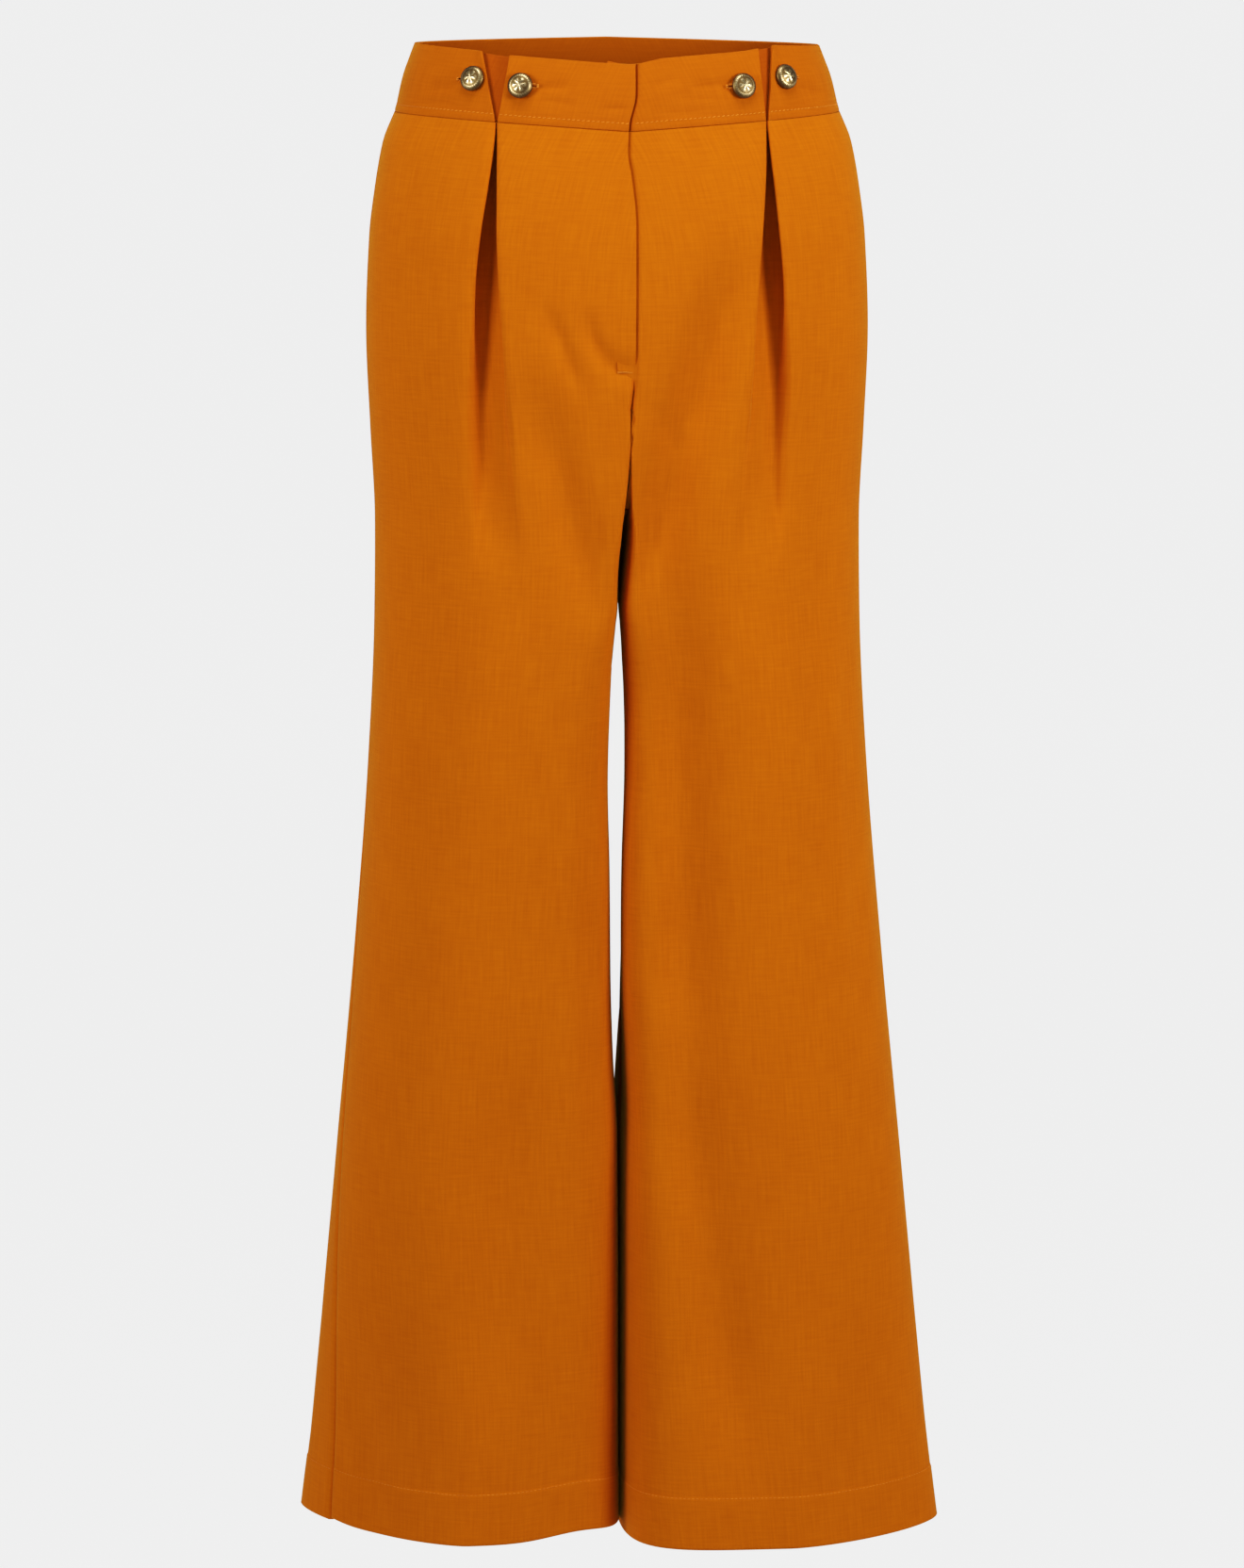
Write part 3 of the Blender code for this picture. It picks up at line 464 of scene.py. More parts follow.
def seam_roll(at, height, facing, folded=0.0):
    """How far a panel rolls in along its two edges, where it is sewn to the next one."""
    top = CROTCH_TOP_FRONT if facing == "front" else CROTCH_TOP_BACK
    below_top = 1 - ease(height, top - ROLL_FADES, top)
    turned = float(ease(height, FORK_HEIGHT - ROLL_FADES, FORK_HEIGHT) * below_top)
    inner_share = (1 - (1 - FOLD_ROLL_SHARE) * folded) * (1 - turned)
    at_side = 1 - ease(at - at.min(), 0.0, EDGE_ROLL_WIDTH)
    at_inner = 1 - ease(at.max() - at, 0.0, EDGE_ROLL_WIDTH)
    return EDGE_ROLL * (at_side + inner_share * at_inner)


def evened(at, height, edges):
    """Columns that spread out evenly down the leg, but for those beside the seams."""
    count = len(at) - 2 * len(edges) + 1
    even = np.concatenate((edges, spaced(edges[-1], at[-1] - edges[-1], count), at[-1] - edges[::-1]))
    return at + (even - at) * (1 - ease(height, SPREAD_TO, SPREAD_FROM))


def fly_relief(from_edge, height):
    """The right front's relief beside the fly's edge: its facing stands proud, and its stitching puckers."""
    down = max(FLY_CURVES_FROM - height, 0.0) / (FLY_CURVES_FROM - FLY_STITCH_FOOT)
    past = (np.hypot(from_edge / FLY_STITCH, down) - 1) * FLY_STITCH
    pucker = FLY_PUCKER * float(ease(height, FLY_PUCKER_FROM, FLY_PUCKER_FULL)) + FLY_PUCKER_ABOVE
    groove = pucker * np.exp(-(((past + FLY_PUCKER_INSIDE) / FLY_PUCKER_WIDTH) ** 2))
    return groove - FACING_STANDS * (1 - ease(past, -FACING_EDGE, FACING_EDGE))


def front_columns(height, side, line):
    """Lengths along the line and inward depths of a front's columns."""
    total = length_to_inner(line, height)
    edges = np.array(EDGE_STEPS)
    middle = length_at_out(line, read(PLEAT_LINE, side, max(height, PLEAT_LINE[0].height)))
    pleat = pleat_section(height, side)
    pleat_at = middle + pleat[:, 0]
    edge = read(FLY, "edge", height)
    if side == "right":
        fly_at = total + edge - edges[::-1]
        fly_in = np.zeros(len(fly_at))
    else:
        under = read(FLY, "under", height)
        behind = total - edge - SEAM / 2 + read(FLY, "lap", height)
        step = np.linspace(total - edge - FLY_STEP, total - edge - FLY_TUCK, len(edges) - 1)
        fly_at = np.append(step, behind)
        fly_in = under * ease(fly_at, total - edge - FLY_STEP, total - edge - FLY_TUCK)
    corner = min(corner_length(height, "front", line), fly_at[0] - INNER_STRIP)
    at = np.concatenate((
        edges, spaced(edges[-1], pleat_at[0], SIDE_COLUMNS), pleat_at,
        spaced(pleat_at[-1], corner, CENTRE_COLUMNS), [corner],
        spaced(corner, fly_at[0], INNER_COLUMNS), fly_at,
    ))
    inward = np.zeros(len(at))
    first = len(edges) + SIDE_COLUMNS - 1
    inward[first:first + len(pleat)] = pleat[:, 1]
    inward[-len(fly_in):] = fly_in
    return evened(at, height, edges), inward


def crease_depth(folds, side, out, height):
    """How far the creases push the cloth in at places (out, height)."""
    depth = np.zeros(len(out))
    for fold in folds:
        if fold.side not in (side, "both"):
            continue
        run = np.array((fold.out_foot - fold.out_top, fold.foot - fold.top))
        length = np.linalg.norm(run)
        run /= length
        offset = np.column_stack((out - fold.out_top, np.full(len(out), height - fold.top)))
        along = offset @ run / length
        across = offset[:, 0] * run[1] - offset[:, 1] * run[0]
        ends = ease(along, *FADE_IN) * (1 - ease(along, *FADE_OUT))
        depth += fold.depth * ends * np.exp(-((across / fold.width) ** 2))
    return depth


def hem_lift(side, flat, height):
    """How far the hem's front edge is drawn up, fading out above it."""
    rise = np.zeros(len(flat))
    for lift in HEM_LIFTS:
        if lift.side == side:
            near = np.exp(-(((flat[:, 0] - lift.out) / lift.width) ** 2)) * (flat[:, 1] < 0)
            rise += lift.rise * near * (1 - float(ease(height, 0.0, lift.fades)))
    return rise


def towards_middle(out):
    """0 at the side and 1 at the middle."""
    return 1 - np.minimum(np.abs(out) / SIDE_OUT, 1.0)


def in_space(side, flat, heights):
    """Points in space from (out, y) points and heights, on the right or the left."""
    return np.column_stack((SIDES[side] * flat[:, 0], flat[:, 1], np.asarray(heights) - WAIST_HEIGHT))


def front_row(height, side, inward=0.0, z=None):
    """One row of a front: its points in space and their places in the cloth."""
    line = panel_line(height, "front", side)
    at, depths = front_columns(height, side, line)
    folded = float(ease(height, FLY[1].height, FLY[2].height))
    depths = depths + inward + seam_roll(at, height, "front", folded)
    if side == "right" and height > CROTCH_TOP_FRONT:
        depths = depths + fly_relief(at[-1] - at, height)
    flat = place(line, at, depths, True)
    creases = np.where(flat[:, 1] < 0, crease_depth(FRONT_FOLDS, side, flat[:, 0], height), 0.0)
    flat = place(line, at, depths + creases, True)
    fade = 1 - float(ease(SEAM_HEIGHT - height, 0.0, DIP_FADES))
    dropped = (height if z is None else z) - SEAM_DIP * towards_middle(flat[:, 0]) * fade
    dropped = dropped + hem_lift(side, flat, height)
    return in_space(side, flat, dropped), np.column_stack((at, np.full(len(at), height)))


def panel_rows(row_at):
    """A panel's rows from the band to the hem and up again inside it. row_at(height, inward, z) gives one."""
    top = SEAM_HEIGHT - SEAM
    outside = list(np.linspace(top, HEM_DEPTH + 0.002, round(top / ROW_STEP)))
    outside += [HEM_DEPTH + step for step in HEM_EDGE_STEPS]
    outside += list(np.linspace(HEM_DEPTH - 0.003, 0.003, HEM_ROWS))
    rows = []
    for height in outside:
        stands = HEM_STANDS * float(ease(height, HEM_DEPTH + HEM_EASES, HEM_DEPTH - HEM_EASES))
        rows.append(row_at(height, -stands, height))
    nose = LAYER / 2
    for turn in np.linspace(-math.pi / 2, math.pi / 2, HEM_ROWS):
        rise = nose * (1 - math.cos(turn))
        rows.append(row_at(rise, nose * (1 + math.sin(turn)) - HEM_STANDS, CLOTH / 2 + rise))
    for height in np.linspace(0.004, HEM_DEPTH, HEM_ROWS):
        rows.append(row_at(height, LAYER - HEM_STANDS, height))
    return rows


def piece_from(bm, name, material=None):
    """An object made from a bmesh, smooth where it has a finish."""
    mesh = bpy.data.meshes.new(name)
    bm.to_mesh(mesh)
    bm.free()
    if material:
        mesh.shade_smooth()
        mesh.materials.append(material)
    piece = bpy.data.objects.new(name, mesh)
    bpy.context.scene.collection.objects.link(piece)
    return piece


def cloth_wall(name, rows, thickness, edge_width, material):
    """A wall of cloth through rows of points, each with its place in the cloth for the weave."""
    count = len(rows[0][0])
    bm = bmesh.new()
    bmesh.ops.create_grid(bm, x_segments=count - 1, y_segments=len(rows) - 1, size=1.0)
    weave_places = bm.loops.layers.uv.new("cloth")
    spot = {}
    for vertex in bm.verts:
        column = round((vertex.co.x + 1) / 2 * (count - 1))
        points, places = rows[round((vertex.co.y + 1) / 2 * (len(rows) - 1))]
        vertex.co = points[column]
        spot[vertex] = places[column]
    for face in bm.faces:
        for loop in face.loops:
            loop[weave_places].uv = spot[loop.vert]
    piece = piece_from(bm, name, material)
    wall = piece.modifiers.new("thickness", "SOLIDIFY")
    wall.thickness = thickness
    wall.offset = 0.0
    edge = piece.modifiers.new("edges", "BEVEL")
    edge.width = edge_width
    edge.segments = 2
    edge.limit_method = "ANGLE"
    edge.angle_limit = math.radians(60)
    edge.harden_normals = True
    return piece


# The weave: streaks to a metre across and along the cloth, how much each kind shows
# in the shade, and how much the threads and the slubs stand up.
WEFT_STREAKS = (45.0, 700.0, 0.0)
WARP_STREAKS = (650.0, 30.0, 0.0)
CLOUDS = (16.0, 12.0, 0.0)
WEFT_SHARE = 0.46
WARP_SHARE = 0.54
CLOUD_SHARE = 0.4
THREAD_RELIEF = 0.25
SLUB_RELIEF = 1.2
THREAD_PITCH = 0.00062


def noise_from(nodes, links, place, scale, detail):
    """Noise laid out along a socket's coordinates."""
    noise = nodes.new("ShaderNodeTexNoise")
    noise.inputs["Scale"].default_value = scale
    noise.inputs["Detail"].default_value = detail
    links.new(place, noise.inputs["Vector"])
    return noise


def weave_group():
    """Shade and relief of a slubbed plain weave, from the cloth's own coordinates in metres."""
    group = bpy.data.node_groups.new("slubbed_weave", "ShaderNodeTree")
    kinds = {"Cloth": "NodeSocketVector", "Thread": "NodeSocketFloat", "Slub": "NodeSocketFloat"}
    for name, kind in kinds.items():
        group.interface.new_socket(name, in_out="INPUT", socket_type=kind)
    for name in ("Shade", "Relief"):
        group.interface.new_socket(name, in_out="OUTPUT", socket_type="NodeSocketFloat")
    nodes, links = group.nodes, group.links
    inside, outside = nodes.new("NodeGroupInput"), nodes.new("NodeGroupOutput")

    def worked(operation, *values):
        node = nodes.new("ShaderNodeMath")
        node.operation = operation
        for socket, value in zip(node.inputs, values):
            if isinstance(value, bpy.types.NodeSocket):
                links.new(value, socket)
            else:
                socket.default_value = value
        return node.outputs["Value"]

    def streaks(per_metre, detail):
        scaled = nodes.new("ShaderNodeVectorMath")
        scaled.operation = "MULTIPLY"
        scaled.inputs[1].default_value = per_metre
        links.new(inside.outputs["Cloth"], scaled.inputs[0])
        noise = noise_from(nodes, links, scaled.outputs["Vector"], 1.0, detail)
        noise.inputs["Roughness"].default_value = 0.6
        return noise.outputs["Fac"]

    parts = nodes.new("ShaderNodeSeparateXYZ")
    links.new(inside.outputs["Cloth"], parts.inputs[0])
    turns = worked("DIVIDE", 2 * math.pi, inside.outputs["Thread"])
    waves = [worked("SINE", worked("MULTIPLY", parts.outputs[axis], turns)) for axis in ("X", "Y")]
    crossing = worked("MULTIPLY", waves[0], waves[1])
    weft = streaks(WEFT_STREAKS, 3.0)
    warp = streaks(WARP_STREAKS, 3.0)
    cloud = streaks(CLOUDS, 2.0)
    slubs = worked("ADD", worked("MULTIPLY", weft, WEFT_SHARE), worked("MULTIPLY", warp, WARP_SHARE))
    spread = worked("MULTIPLY", worked("SUBTRACT", slubs, 0.5), inside.outputs["Slub"])
    softer = worked("MULTIPLY", worked("SUBTRACT", cloud, 0.5), CLOUD_SHARE)
    links.new(worked("ADD", worked("ADD", spread, softer), 0.5), outside.inputs["Shade"])
    standing = worked("MULTIPLY", crossing, THREAD_RELIEF)
    relief = worked("ADD", standing, worked("MULTIPLY", slubs, SLUB_RELIEF))
    links.new(relief, outside.inputs["Relief"])
    return group


def new_finish(name):
    """A material with its nodes, its links and its shader."""
    material = bpy.data.materials.new(name)
    material.use_nodes = True
    nodes = material.node_tree.nodes
    return material, nodes, material.node_tree.links, nodes["Principled BSDF"]


def cloth_material(name, dark, light, slub=1.8):
    """The cloth: its shade runs from dark to light along slubs and threads, with a soft sheen."""
    material, nodes, links, shader = new_finish(name)
    own = nodes.new("ShaderNodeUVMap")
    own.uv_map = "cloth"
    cloth = nodes.new("ShaderNodeGroup")
    cloth.node_tree = weave
    cloth.inputs["Thread"].default_value = THREAD_PITCH
    cloth.inputs["Slub"].default_value = slub
    links.new(own.outputs["UV"], cloth.inputs["Cloth"])
    colour = nodes.new("ShaderNodeMix")
    colour.data_type = "RGBA"
    ends = [socket for socket in colour.inputs if socket.type == "RGBA"]
    ends[0].default_value = (*dark, 1.0)
    ends[1].default_value = (*light, 1.0)
    links.new(cloth.outputs["Shade"], colour.inputs[0])
    mixed = next(socket for socket in colour.outputs if socket.type == "RGBA")
    links.new(mixed, shader.inputs["Base Color"])
    bump = nodes.new("ShaderNodeBump")
    bump.inputs["Strength"].default_value = 0.35
    bump.inputs["Distance"].default_value = 0.0003
    links.new(cloth.outputs["Relief"], bump.inputs["Height"])
    links.new(bump.outputs["Normal"], shader.inputs["Normal"])
    shader.inputs["Roughness"].default_value = 0.9
    shader.inputs["Specular IOR Level"].default_value = 0.03
    shader.inputs["Sheen Weight"].default_value = 0.26
    shader.inputs["Sheen Roughness"].default_value = 0.30
    shader.inputs["Sheen Tint"].default_value = (0.95, 0.80, 0.10, 1.0)
    return material


weave = weave_group()
ochre = cloth_material("ochre_weave", (0.462, 0.115, 0.0030), (0.595, 0.164, 0.0050))

for side in SIDES:
    rows = panel_rows(lambda height, inward, z: front_row(height, side, inward, z))
    front = cloth_wall(f"front_{side}_cloth", rows, CLOTH, CLOTH_EDGE, ochre)
    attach(front, "root")
    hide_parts("front_panel_" + side)


# ---------------------------------------------------------------------------
# Backs. Two plain panels of the same cloth, sewn to the fronts at the sides and
# the inseams and to each other down the middle, with the same turned-up hem.

BACK_COLUMNS = 60
BACK_FOLDS = (
    Fold("both", 0.030, 0.800, 0.095, 0.700, 0.014, 0.0030),
    Fold("both", 0.020, 0.755, 0.070, 0.655, 0.012, 0.0024),
    Fold("right", 0.110, 0.680, 0.120, 0.420, 0.024, 0.0026),
    Fold("left", 0.105, 0.650, 0.118, 0.380, 0.022, 0.0030),
    Fold("right", 0.090, 0.300, 0.120, 0.080, 0.026, 0.0030),
    Fold("left", 0.110, 0.260, 0.085, 0.060, 0.024, 0.0026),
    Fold("left", 0.150, 0.520, 0.172, 0.260, 0.020, 0.0020),
)
BACK_WEAVE_PLACE = 0.5      # so that a back's slubs don't repeat its front's


def back_row(height, side, inward=0.0, z=None):
    """One row of a back: its points in space and their places in the cloth."""
    line = panel_line(height, "back", side)
    inner = length_to_inner(line, height)
    corner = corner_length(height, "back", line)
    edges = np.array(EDGE_STEPS)
    at = np.concatenate((
        edges, spaced(edges[-1], corner, BACK_COLUMNS), [corner],
        spaced(corner, inner - edges[-1], INNER_COLUMNS), inner - edges[::-1],
    ))
    at = evened(at, height, edges)
    depths = inward + seam_roll(at, height, "back")
    flat = place(line, at, depths, False)
    creases = np.where(flat[:, 1] > 0, crease_depth(BACK_FOLDS, side, flat[:, 0], height), 0.0)
    flat = place(line, at, depths + creases, False)
    fade = 1 - float(ease(SEAM_HEIGHT - height, 0.0, DIP_FADES))
    raised = (height if z is None else z) + BACK_RISE * towards_middle(flat[:, 0]) * fade
    return in_space(side, flat, raised), np.column_stack((at + BACK_WEAVE_PLACE, np.full(len(at), height)))


for side in SIDES:
    rows = panel_rows(lambda height, inward, z: back_row(height, side, inward, z))
    back = cloth_wall(f"back_{side}_cloth", rows, CLOTH, CLOTH_EDGE, ochre)
    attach(back, "root")
    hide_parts("back_panel_" + side)


# ---------------------------------------------------------------------------
# Waistband. Two layers of the cloth round a stiffener, shaped to the waist. Each
# front half is cut by a V notch over its pleat, and the left one runs on under the
# right one at the fly. Every buttonhole is a slit across its flap.

BAND_CLOTH = 0.0022
BAND_IN = 0.0003
BAND_EDGE = 0.0005
BAND_ROWS = 26
BAND_LAP_SHARES = (0.25, 0.5, 0.75)
BAND_LAP_COLUMNS = 6
BAND_ROLL = 0.0004
BAND_ROLL_SHARE = 0.035
STITCH_SHARE = 0.0055 / (RIM_HEIGHT - SEAM_HEIGHT)
STITCH_SINKS = 0.00025
STITCH_SINK_SHARE = 0.028
NOTCH_HALF = {"right": 0.0100, "left": 0.0056}
FLAP_CURL = 0.0012
FLAP_CURL_WIDTH = 0.007
BACK_SEAM_LAP = 0.0004      # the two halves press into each other at the centre back

# How far each side's rim dips below the full height, by the distance from the middle.
Rim = namedtuple("Rim", "out right left")
RIMS = (
    Rim(0.000, 0.0125, 0.0125),
    Rim(0.006, 0.0122, 0.0122),
    Rim(0.022, 0.0112, 0.0085),
    Rim(0.080, 0.0065, 0.0040),
    Rim(0.100, 0.0036, 0.0004),
    Rim(0.1385, 0.0000, 0.0018),
)
BAND_FOLDS = (
    Fold("right", 0.070, 1.0200, 0.040, 1.0235, 0.0036, 0.0013),
    Fold("right", 0.062, 1.0130, 0.036, 1.0110, 0.0030, 0.0007),
    Fold("right", 0.018, 1.0100, 0.002, 1.0110, 0.0018, 0.0009),
    Fold("right", 0.112, 1.0180, 0.132, 1.0130, 0.0040, 0.0011),
    Fold("right", 0.116, 1.0060, 0.140, 1.0030, 0.0034, 0.0008),
    Fold("left", 0.074, 1.0210, 0.042, 1.0210, 0.0036, 0.0013),
    Fold("left", 0.066, 1.0120, 0.030, 1.0150, 0.0032, 0.0007),
    Fold("left", 0.118, 1.0150, 0.136, 1.0080, 0.0045, 0.0012),
    Fold("left", 0.022, 1.0060, 0.064, 1.0040, 0.0035, 0.0007),
    Fold("left", 0.012, 1.0240, 0.034, 1.0280, 0.0034, 0.0007),
)


def rim_dip(side, out):
    return np.interp(np.abs(out), [row.out for row in RIMS], [getattr(row, side) for row in RIMS])


def band_share(height):
    """0 at the band's lower seam and 1 at its rim."""
    return (height - SEAM_HEIGHT) / (RIM_HEIGHT - SEAM_HEIGHT)


def notch_half(side, height):
    return NOTCH_FOOT + (NOTCH_HALF[side] - NOTCH_FOOT) * max(band_share(height), 0.0)


def notch_middle(side, height, line):
    return length_at_out(line, read(PLEAT_LINE, side, height))


def side_ends(side, height, line):
    return SEAM / 2, notch_middle(side, height, line) - notch_half(side, height)


def centre_ends(side, height, line):
    edge = read(FLY, "edge", height)
    end = length_to_inner(line, height) + (edge if side == "right" else -edge - FLY_STEP)
    return notch_middle(side, height, line) + notch_half(side, height), end


def back_ends(side, height, line):
    return SEAM / 2, lengths_along(line)[-1] + BACK_SEAM_LAP


def band_row(
        side, facing, ends, height, columns, inward=BAND_IN, drop=0.0, curls="", laps=False, plain=False):
    """One row of a piece of the band, between two places along the waist that ends() gives."""
    share = band_share(height)
    line = half_line(height, facing, side)
    start, end = ends(side, height, line)
    at = np.linspace(start, end, columns)
    depths = np.full(columns, inward)
    if not plain:
        depths += BAND_ROLL * (1 - ease(share, 0.0, BAND_ROLL_SHARE))
        depths += STITCH_SINKS * math.exp(-(((share - STITCH_SHARE) / STITCH_SINK_SHARE) ** 2))
    if curls == "end":
        depths -= FLAP_CURL * share * (1 - ease(end - at, 0.0, FLAP_CURL_WIDTH))
    if curls == "start":
        depths -= FLAP_CURL * share * (1 - ease(at - start, 0.0, FLAP_CURL_WIDTH))
    if laps:
        edge = length_to_inner(line, height) - read(FLY, "edge", height)
        step = end + np.array(BAND_LAP_SHARES) * FLY_STEP
        behind = np.linspace(edge - SEAM, edge + read(FLY, "lap", height), BAND_LAP_COLUMNS)
        under = BAND_CLOTH + 2 * SEAM
        at = np.concatenate((at, step, behind))
        depths = np.append(depths, np.full(len(at) - len(depths), depths[-1]))
        depths += under * ease(at, end, edge - SEAM)
    flat = place(line, at, depths, facing == "front")
    if facing == "front":
        if not plain:
            depths = depths + crease_depth(BAND_FOLDS, side, flat[:, 0], height)
            flat = place(line, at, depths, True)
        dip = SEAM_DIP * towards_middle(flat[:, 0]) * (1 - share) + rim_dip(side, flat[:, 0]) * share
    else:
        middle = towards_middle(flat[:, 0])
        dip = rim_dip(side, SIDE_OUT) * share * (1 - middle) - BACK_RISE * middle
    heights = height - dip - drop * share
    turned = 0.0 if facing == "front" else BACK_WEAVE_PLACE
    return in_space(side, flat, heights), np.column_stack((at + turned, np.full(len(at), height)))


def band_rows(columns, rows=BAND_ROWS, foot=SEAM_HEIGHT, **how):
    heights = np.linspace(foot, RIM_HEIGHT, rows)
    return [band_row(height=height, columns=columns, **how) for height in heights]


band_ochre = cloth_material("band_weave", (0.418, 0.101, 0.0030), (0.535, 0.142, 0.0049))

BandPiece = namedtuple("BandPiece", "name facing ends columns curls laps flat")
BAND_PIECES = (
    BandPiece("side", "front", side_ends, 60, "end", False, (0.109, 0.0466)),
    BandPiece("centre", "front", centre_ends, 46, "start", True, (0.094, 0.0466)),
    BandPiece("back", "back", back_ends, 96, "", False, (0.208, 0.0466)),
)
BAND_UNDER_LAP = 0.019      # the left centre piece is cut this much longer
bands = {}
for side in SIDES:
    for spec in BAND_PIECES:
        laps = spec.laps and side == "left"
        rows = band_rows(
            spec.columns, side=side, facing=spec.facing, ends=spec.ends, curls=spec.curls, laps=laps)
        band = cloth_wall(f"waistband_{spec.name}_{side}", rows, BAND_CLOTH, BAND_EDGE, band_ochre)
        bands[spec.name, side] = band
        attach(band, "root")
        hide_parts(f"band_{spec.name}_{side}")
        width, length = spec.flat
        if laps:
            width += BAND_UNDER_LAP


# ---------------------------------------------------------------------------
# Underlays. A single layer of the cloth behind each notch, which carries the band across
# it. Its colour is a darker, redder copy of the ochre: painted shade for the dark seen
# through the V.

UNDERLAY_TO_SIDE = 0.026
UNDERLAY_TO_FLY = 0.028
UNDERLAY_DROP = 0.0012
UNDERLAY_IN = BAND_IN + BAND_CLOTH / 2 + 2 * SEAM + CLOTH / 2
UNDERLAY_COLUMNS = 28
UNDERLAY_ROWS = 18


def behind_ends(side, height, line):
    middle = notch_middle(side, height, line)
    return middle - UNDERLAY_TO_SIDE, middle + UNDERLAY_TO_FLY


# Painted shade: the same cloth's colour made darker and redder, as it looks in the notch's shadow.
painted_shade_ochre = cloth_material("painted_shade_weave", (0.350, 0.072, 0.0030), (0.450, 0.105, 0.0045))
for side in SIDES:
    rows = band_rows(
        UNDERLAY_COLUMNS, rows=UNDERLAY_ROWS, foot=SEAM_HEIGHT + 2 * SEAM, side=side, facing="front",
        ends=behind_ends, inward=UNDERLAY_IN, drop=UNDERLAY_DROP, plain=True)
    underlay = cloth_wall(f"underlay_{side}", rows, CLOTH, CLOTH_EDGE, painted_shade_ochre)
    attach(underlay, "root")
    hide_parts("notch_underlay_" + side)


# ---------------------------------------------------------------------------
# Zip and shield behind the fly. The zip is a woven tape with a coil of teeth sewn
# down its middle, and the shield is a strip of the trousers' cloth behind it. The
# fly covers both.

TAPE = 0.0007
STRIP_ROWS = 40
STRIP_COLUMNS = 15
Strip = namedtuple("Strip", "name right left layer foot")
FLY_STRIPS = (
    Strip("fly_zip", -0.0120, 0.0140, 2, 0.833),
    Strip("fly_shield", -0.0180, 0.0200, 3, 0.828),
)
STRIP_TOP = SEAM_HEIGHT - 5 * SEAM


def strip_row(strip, height, inward=0.0):
    """One row of a strip behind the fly."""
    line = half_line(height, "front", "left")
    total = length_to_inner(line, height)
    at = np.linspace(total - strip.left, total - strip.right, STRIP_COLUMNS)
    flat = place(line, at, np.full(STRIP_COLUMNS, strip.layer * LAYER + inward), True)
    fade = 1 - float(ease(SEAM_HEIGHT - height, 0.0, DIP_FADES))
    heights = height - SEAM_DIP * towards_middle(flat[:, 0]) * fade
    return in_space("left", flat, heights), np.column_stack((at, np.full(STRIP_COLUMNS, height)))


tape = cloth_material("zip_tape_weave", (0.330, 0.080, 0.004), (0.450, 0.120, 0.007), slub=0.4)
for strip, thickness, fabric, slot in zip(
        FLY_STRIPS, (TAPE, CLOTH), (tape, ochre), ("zip_tape", "inner_cloth")):
    rows = [strip_row(strip, height) for height in np.linspace(STRIP_TOP, strip.foot, STRIP_ROWS)]
    piece = cloth_wall(strip.name + "_cloth", rows, thickness, thickness * 0.25, fabric)
    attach(piece, "root")
    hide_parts(strip.name)


# ---------------------------------------------------------------------------
# Sewing. Ochre thread a shade lighter than the cloth: a row above the band's lower
# seam, the hems' row, a bar tack at the foot of the fly, and the zip's coil.

Sewing = namedtuple("Sewing", "pitch length width slant")
BAND_SEWING = Sewing(0.0033, 0.0027, 0.00062, math.radians(14))
HEM_SEWING = Sewing(0.0030, 0.0026, 0.00040, 0.0)
STITCH_SINKS_IN = 0.3       # share of a stitch's thickness that is under the cloth's face


def stitches(bm, outer, middle, sewing):
    """A row of stitches along points on the cloth's face. middle holds the points behind them in the wall."""
    outer, middle = np.asarray(outer), np.asarray(middle)
    along = np.append(0.0, np.cumsum(np.linalg.norm(np.diff(outer, axis=0), axis=1)))
    count = int((along[-1] - sewing.length) / sewing.pitch)
    start = (along[-1] - count * sewing.pitch) / 2

    def spot(points, at):
        return Vector([np.interp(at, along, points[:, k]) for k in range(3)])

    for k in range(count + 1):
        at = start + k * sewing.pitch
        here = spot(outer, at)
        onward = (spot(outer, at + sewing.length / 2) - spot(outer, at - sewing.length / 2)).normalized()
        outward = (here - spot(middle, at)).normalized()
        aside = outward.cross(onward).normalized()
        turned = onward * math.cos(sewing.slant) + aside * math.sin(sewing.slant)
        aside = outward.cross(turned)
        axes = Matrix((turned * sewing.length / 2, aside * sewing.width / 2, outward * sewing.width / 2))
        lifted = here + outward * sewing.width * (0.5 - STITCH_SINKS_IN) * 0.5
        matrix = Matrix.Translation(lifted) @ axes.transposed().to_4x4()
        bmesh.ops.create_icosphere(bm, subdivisions=1, radius=1.0, matrix=matrix)


def thread_piece(name, bm):
    piece = piece_from(bm, name, thread)
    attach(piece, "root")


def colour_ramp(nodes, links, value, ends):
    """A colour that runs between two ends, each a position and a colour, as the value rises."""
    ramp = nodes.new("ShaderNodeValToRGB")
    for element, (position, colour) in zip(ramp.color_ramp.elements, ends):
        element.position = position
        element.color = colour
    links.new(value, ramp.inputs["Fac"])
    return ramp.outputs["Color"]


def thread_material():
    """Twisted thread: a light ochre that darkens and lightens a little from stitch to stitch."""
    material, nodes, links, shader = new_finish("ochre_thread")
    where = nodes.new("ShaderNodeTexCoord")
    noise = noise_from(nodes, links, where.outputs["Object"], 420.0, 2.0)
    darker, lighter = (0.3, (0.560, 0.175, 0.0090, 1.0)), (0.7, (0.740, 0.270, 0.0220, 1.0))
    colour = colour_ramp(nodes, links, noise.outputs["Fac"], (darker, lighter))
    links.new(colour, shader.inputs["Base Color"])
    shader.inputs["Roughness"].default_value = 0.6
    shader.inputs["Specular IOR Level"].default_value = 0.3
    return material


thread = thread_material()

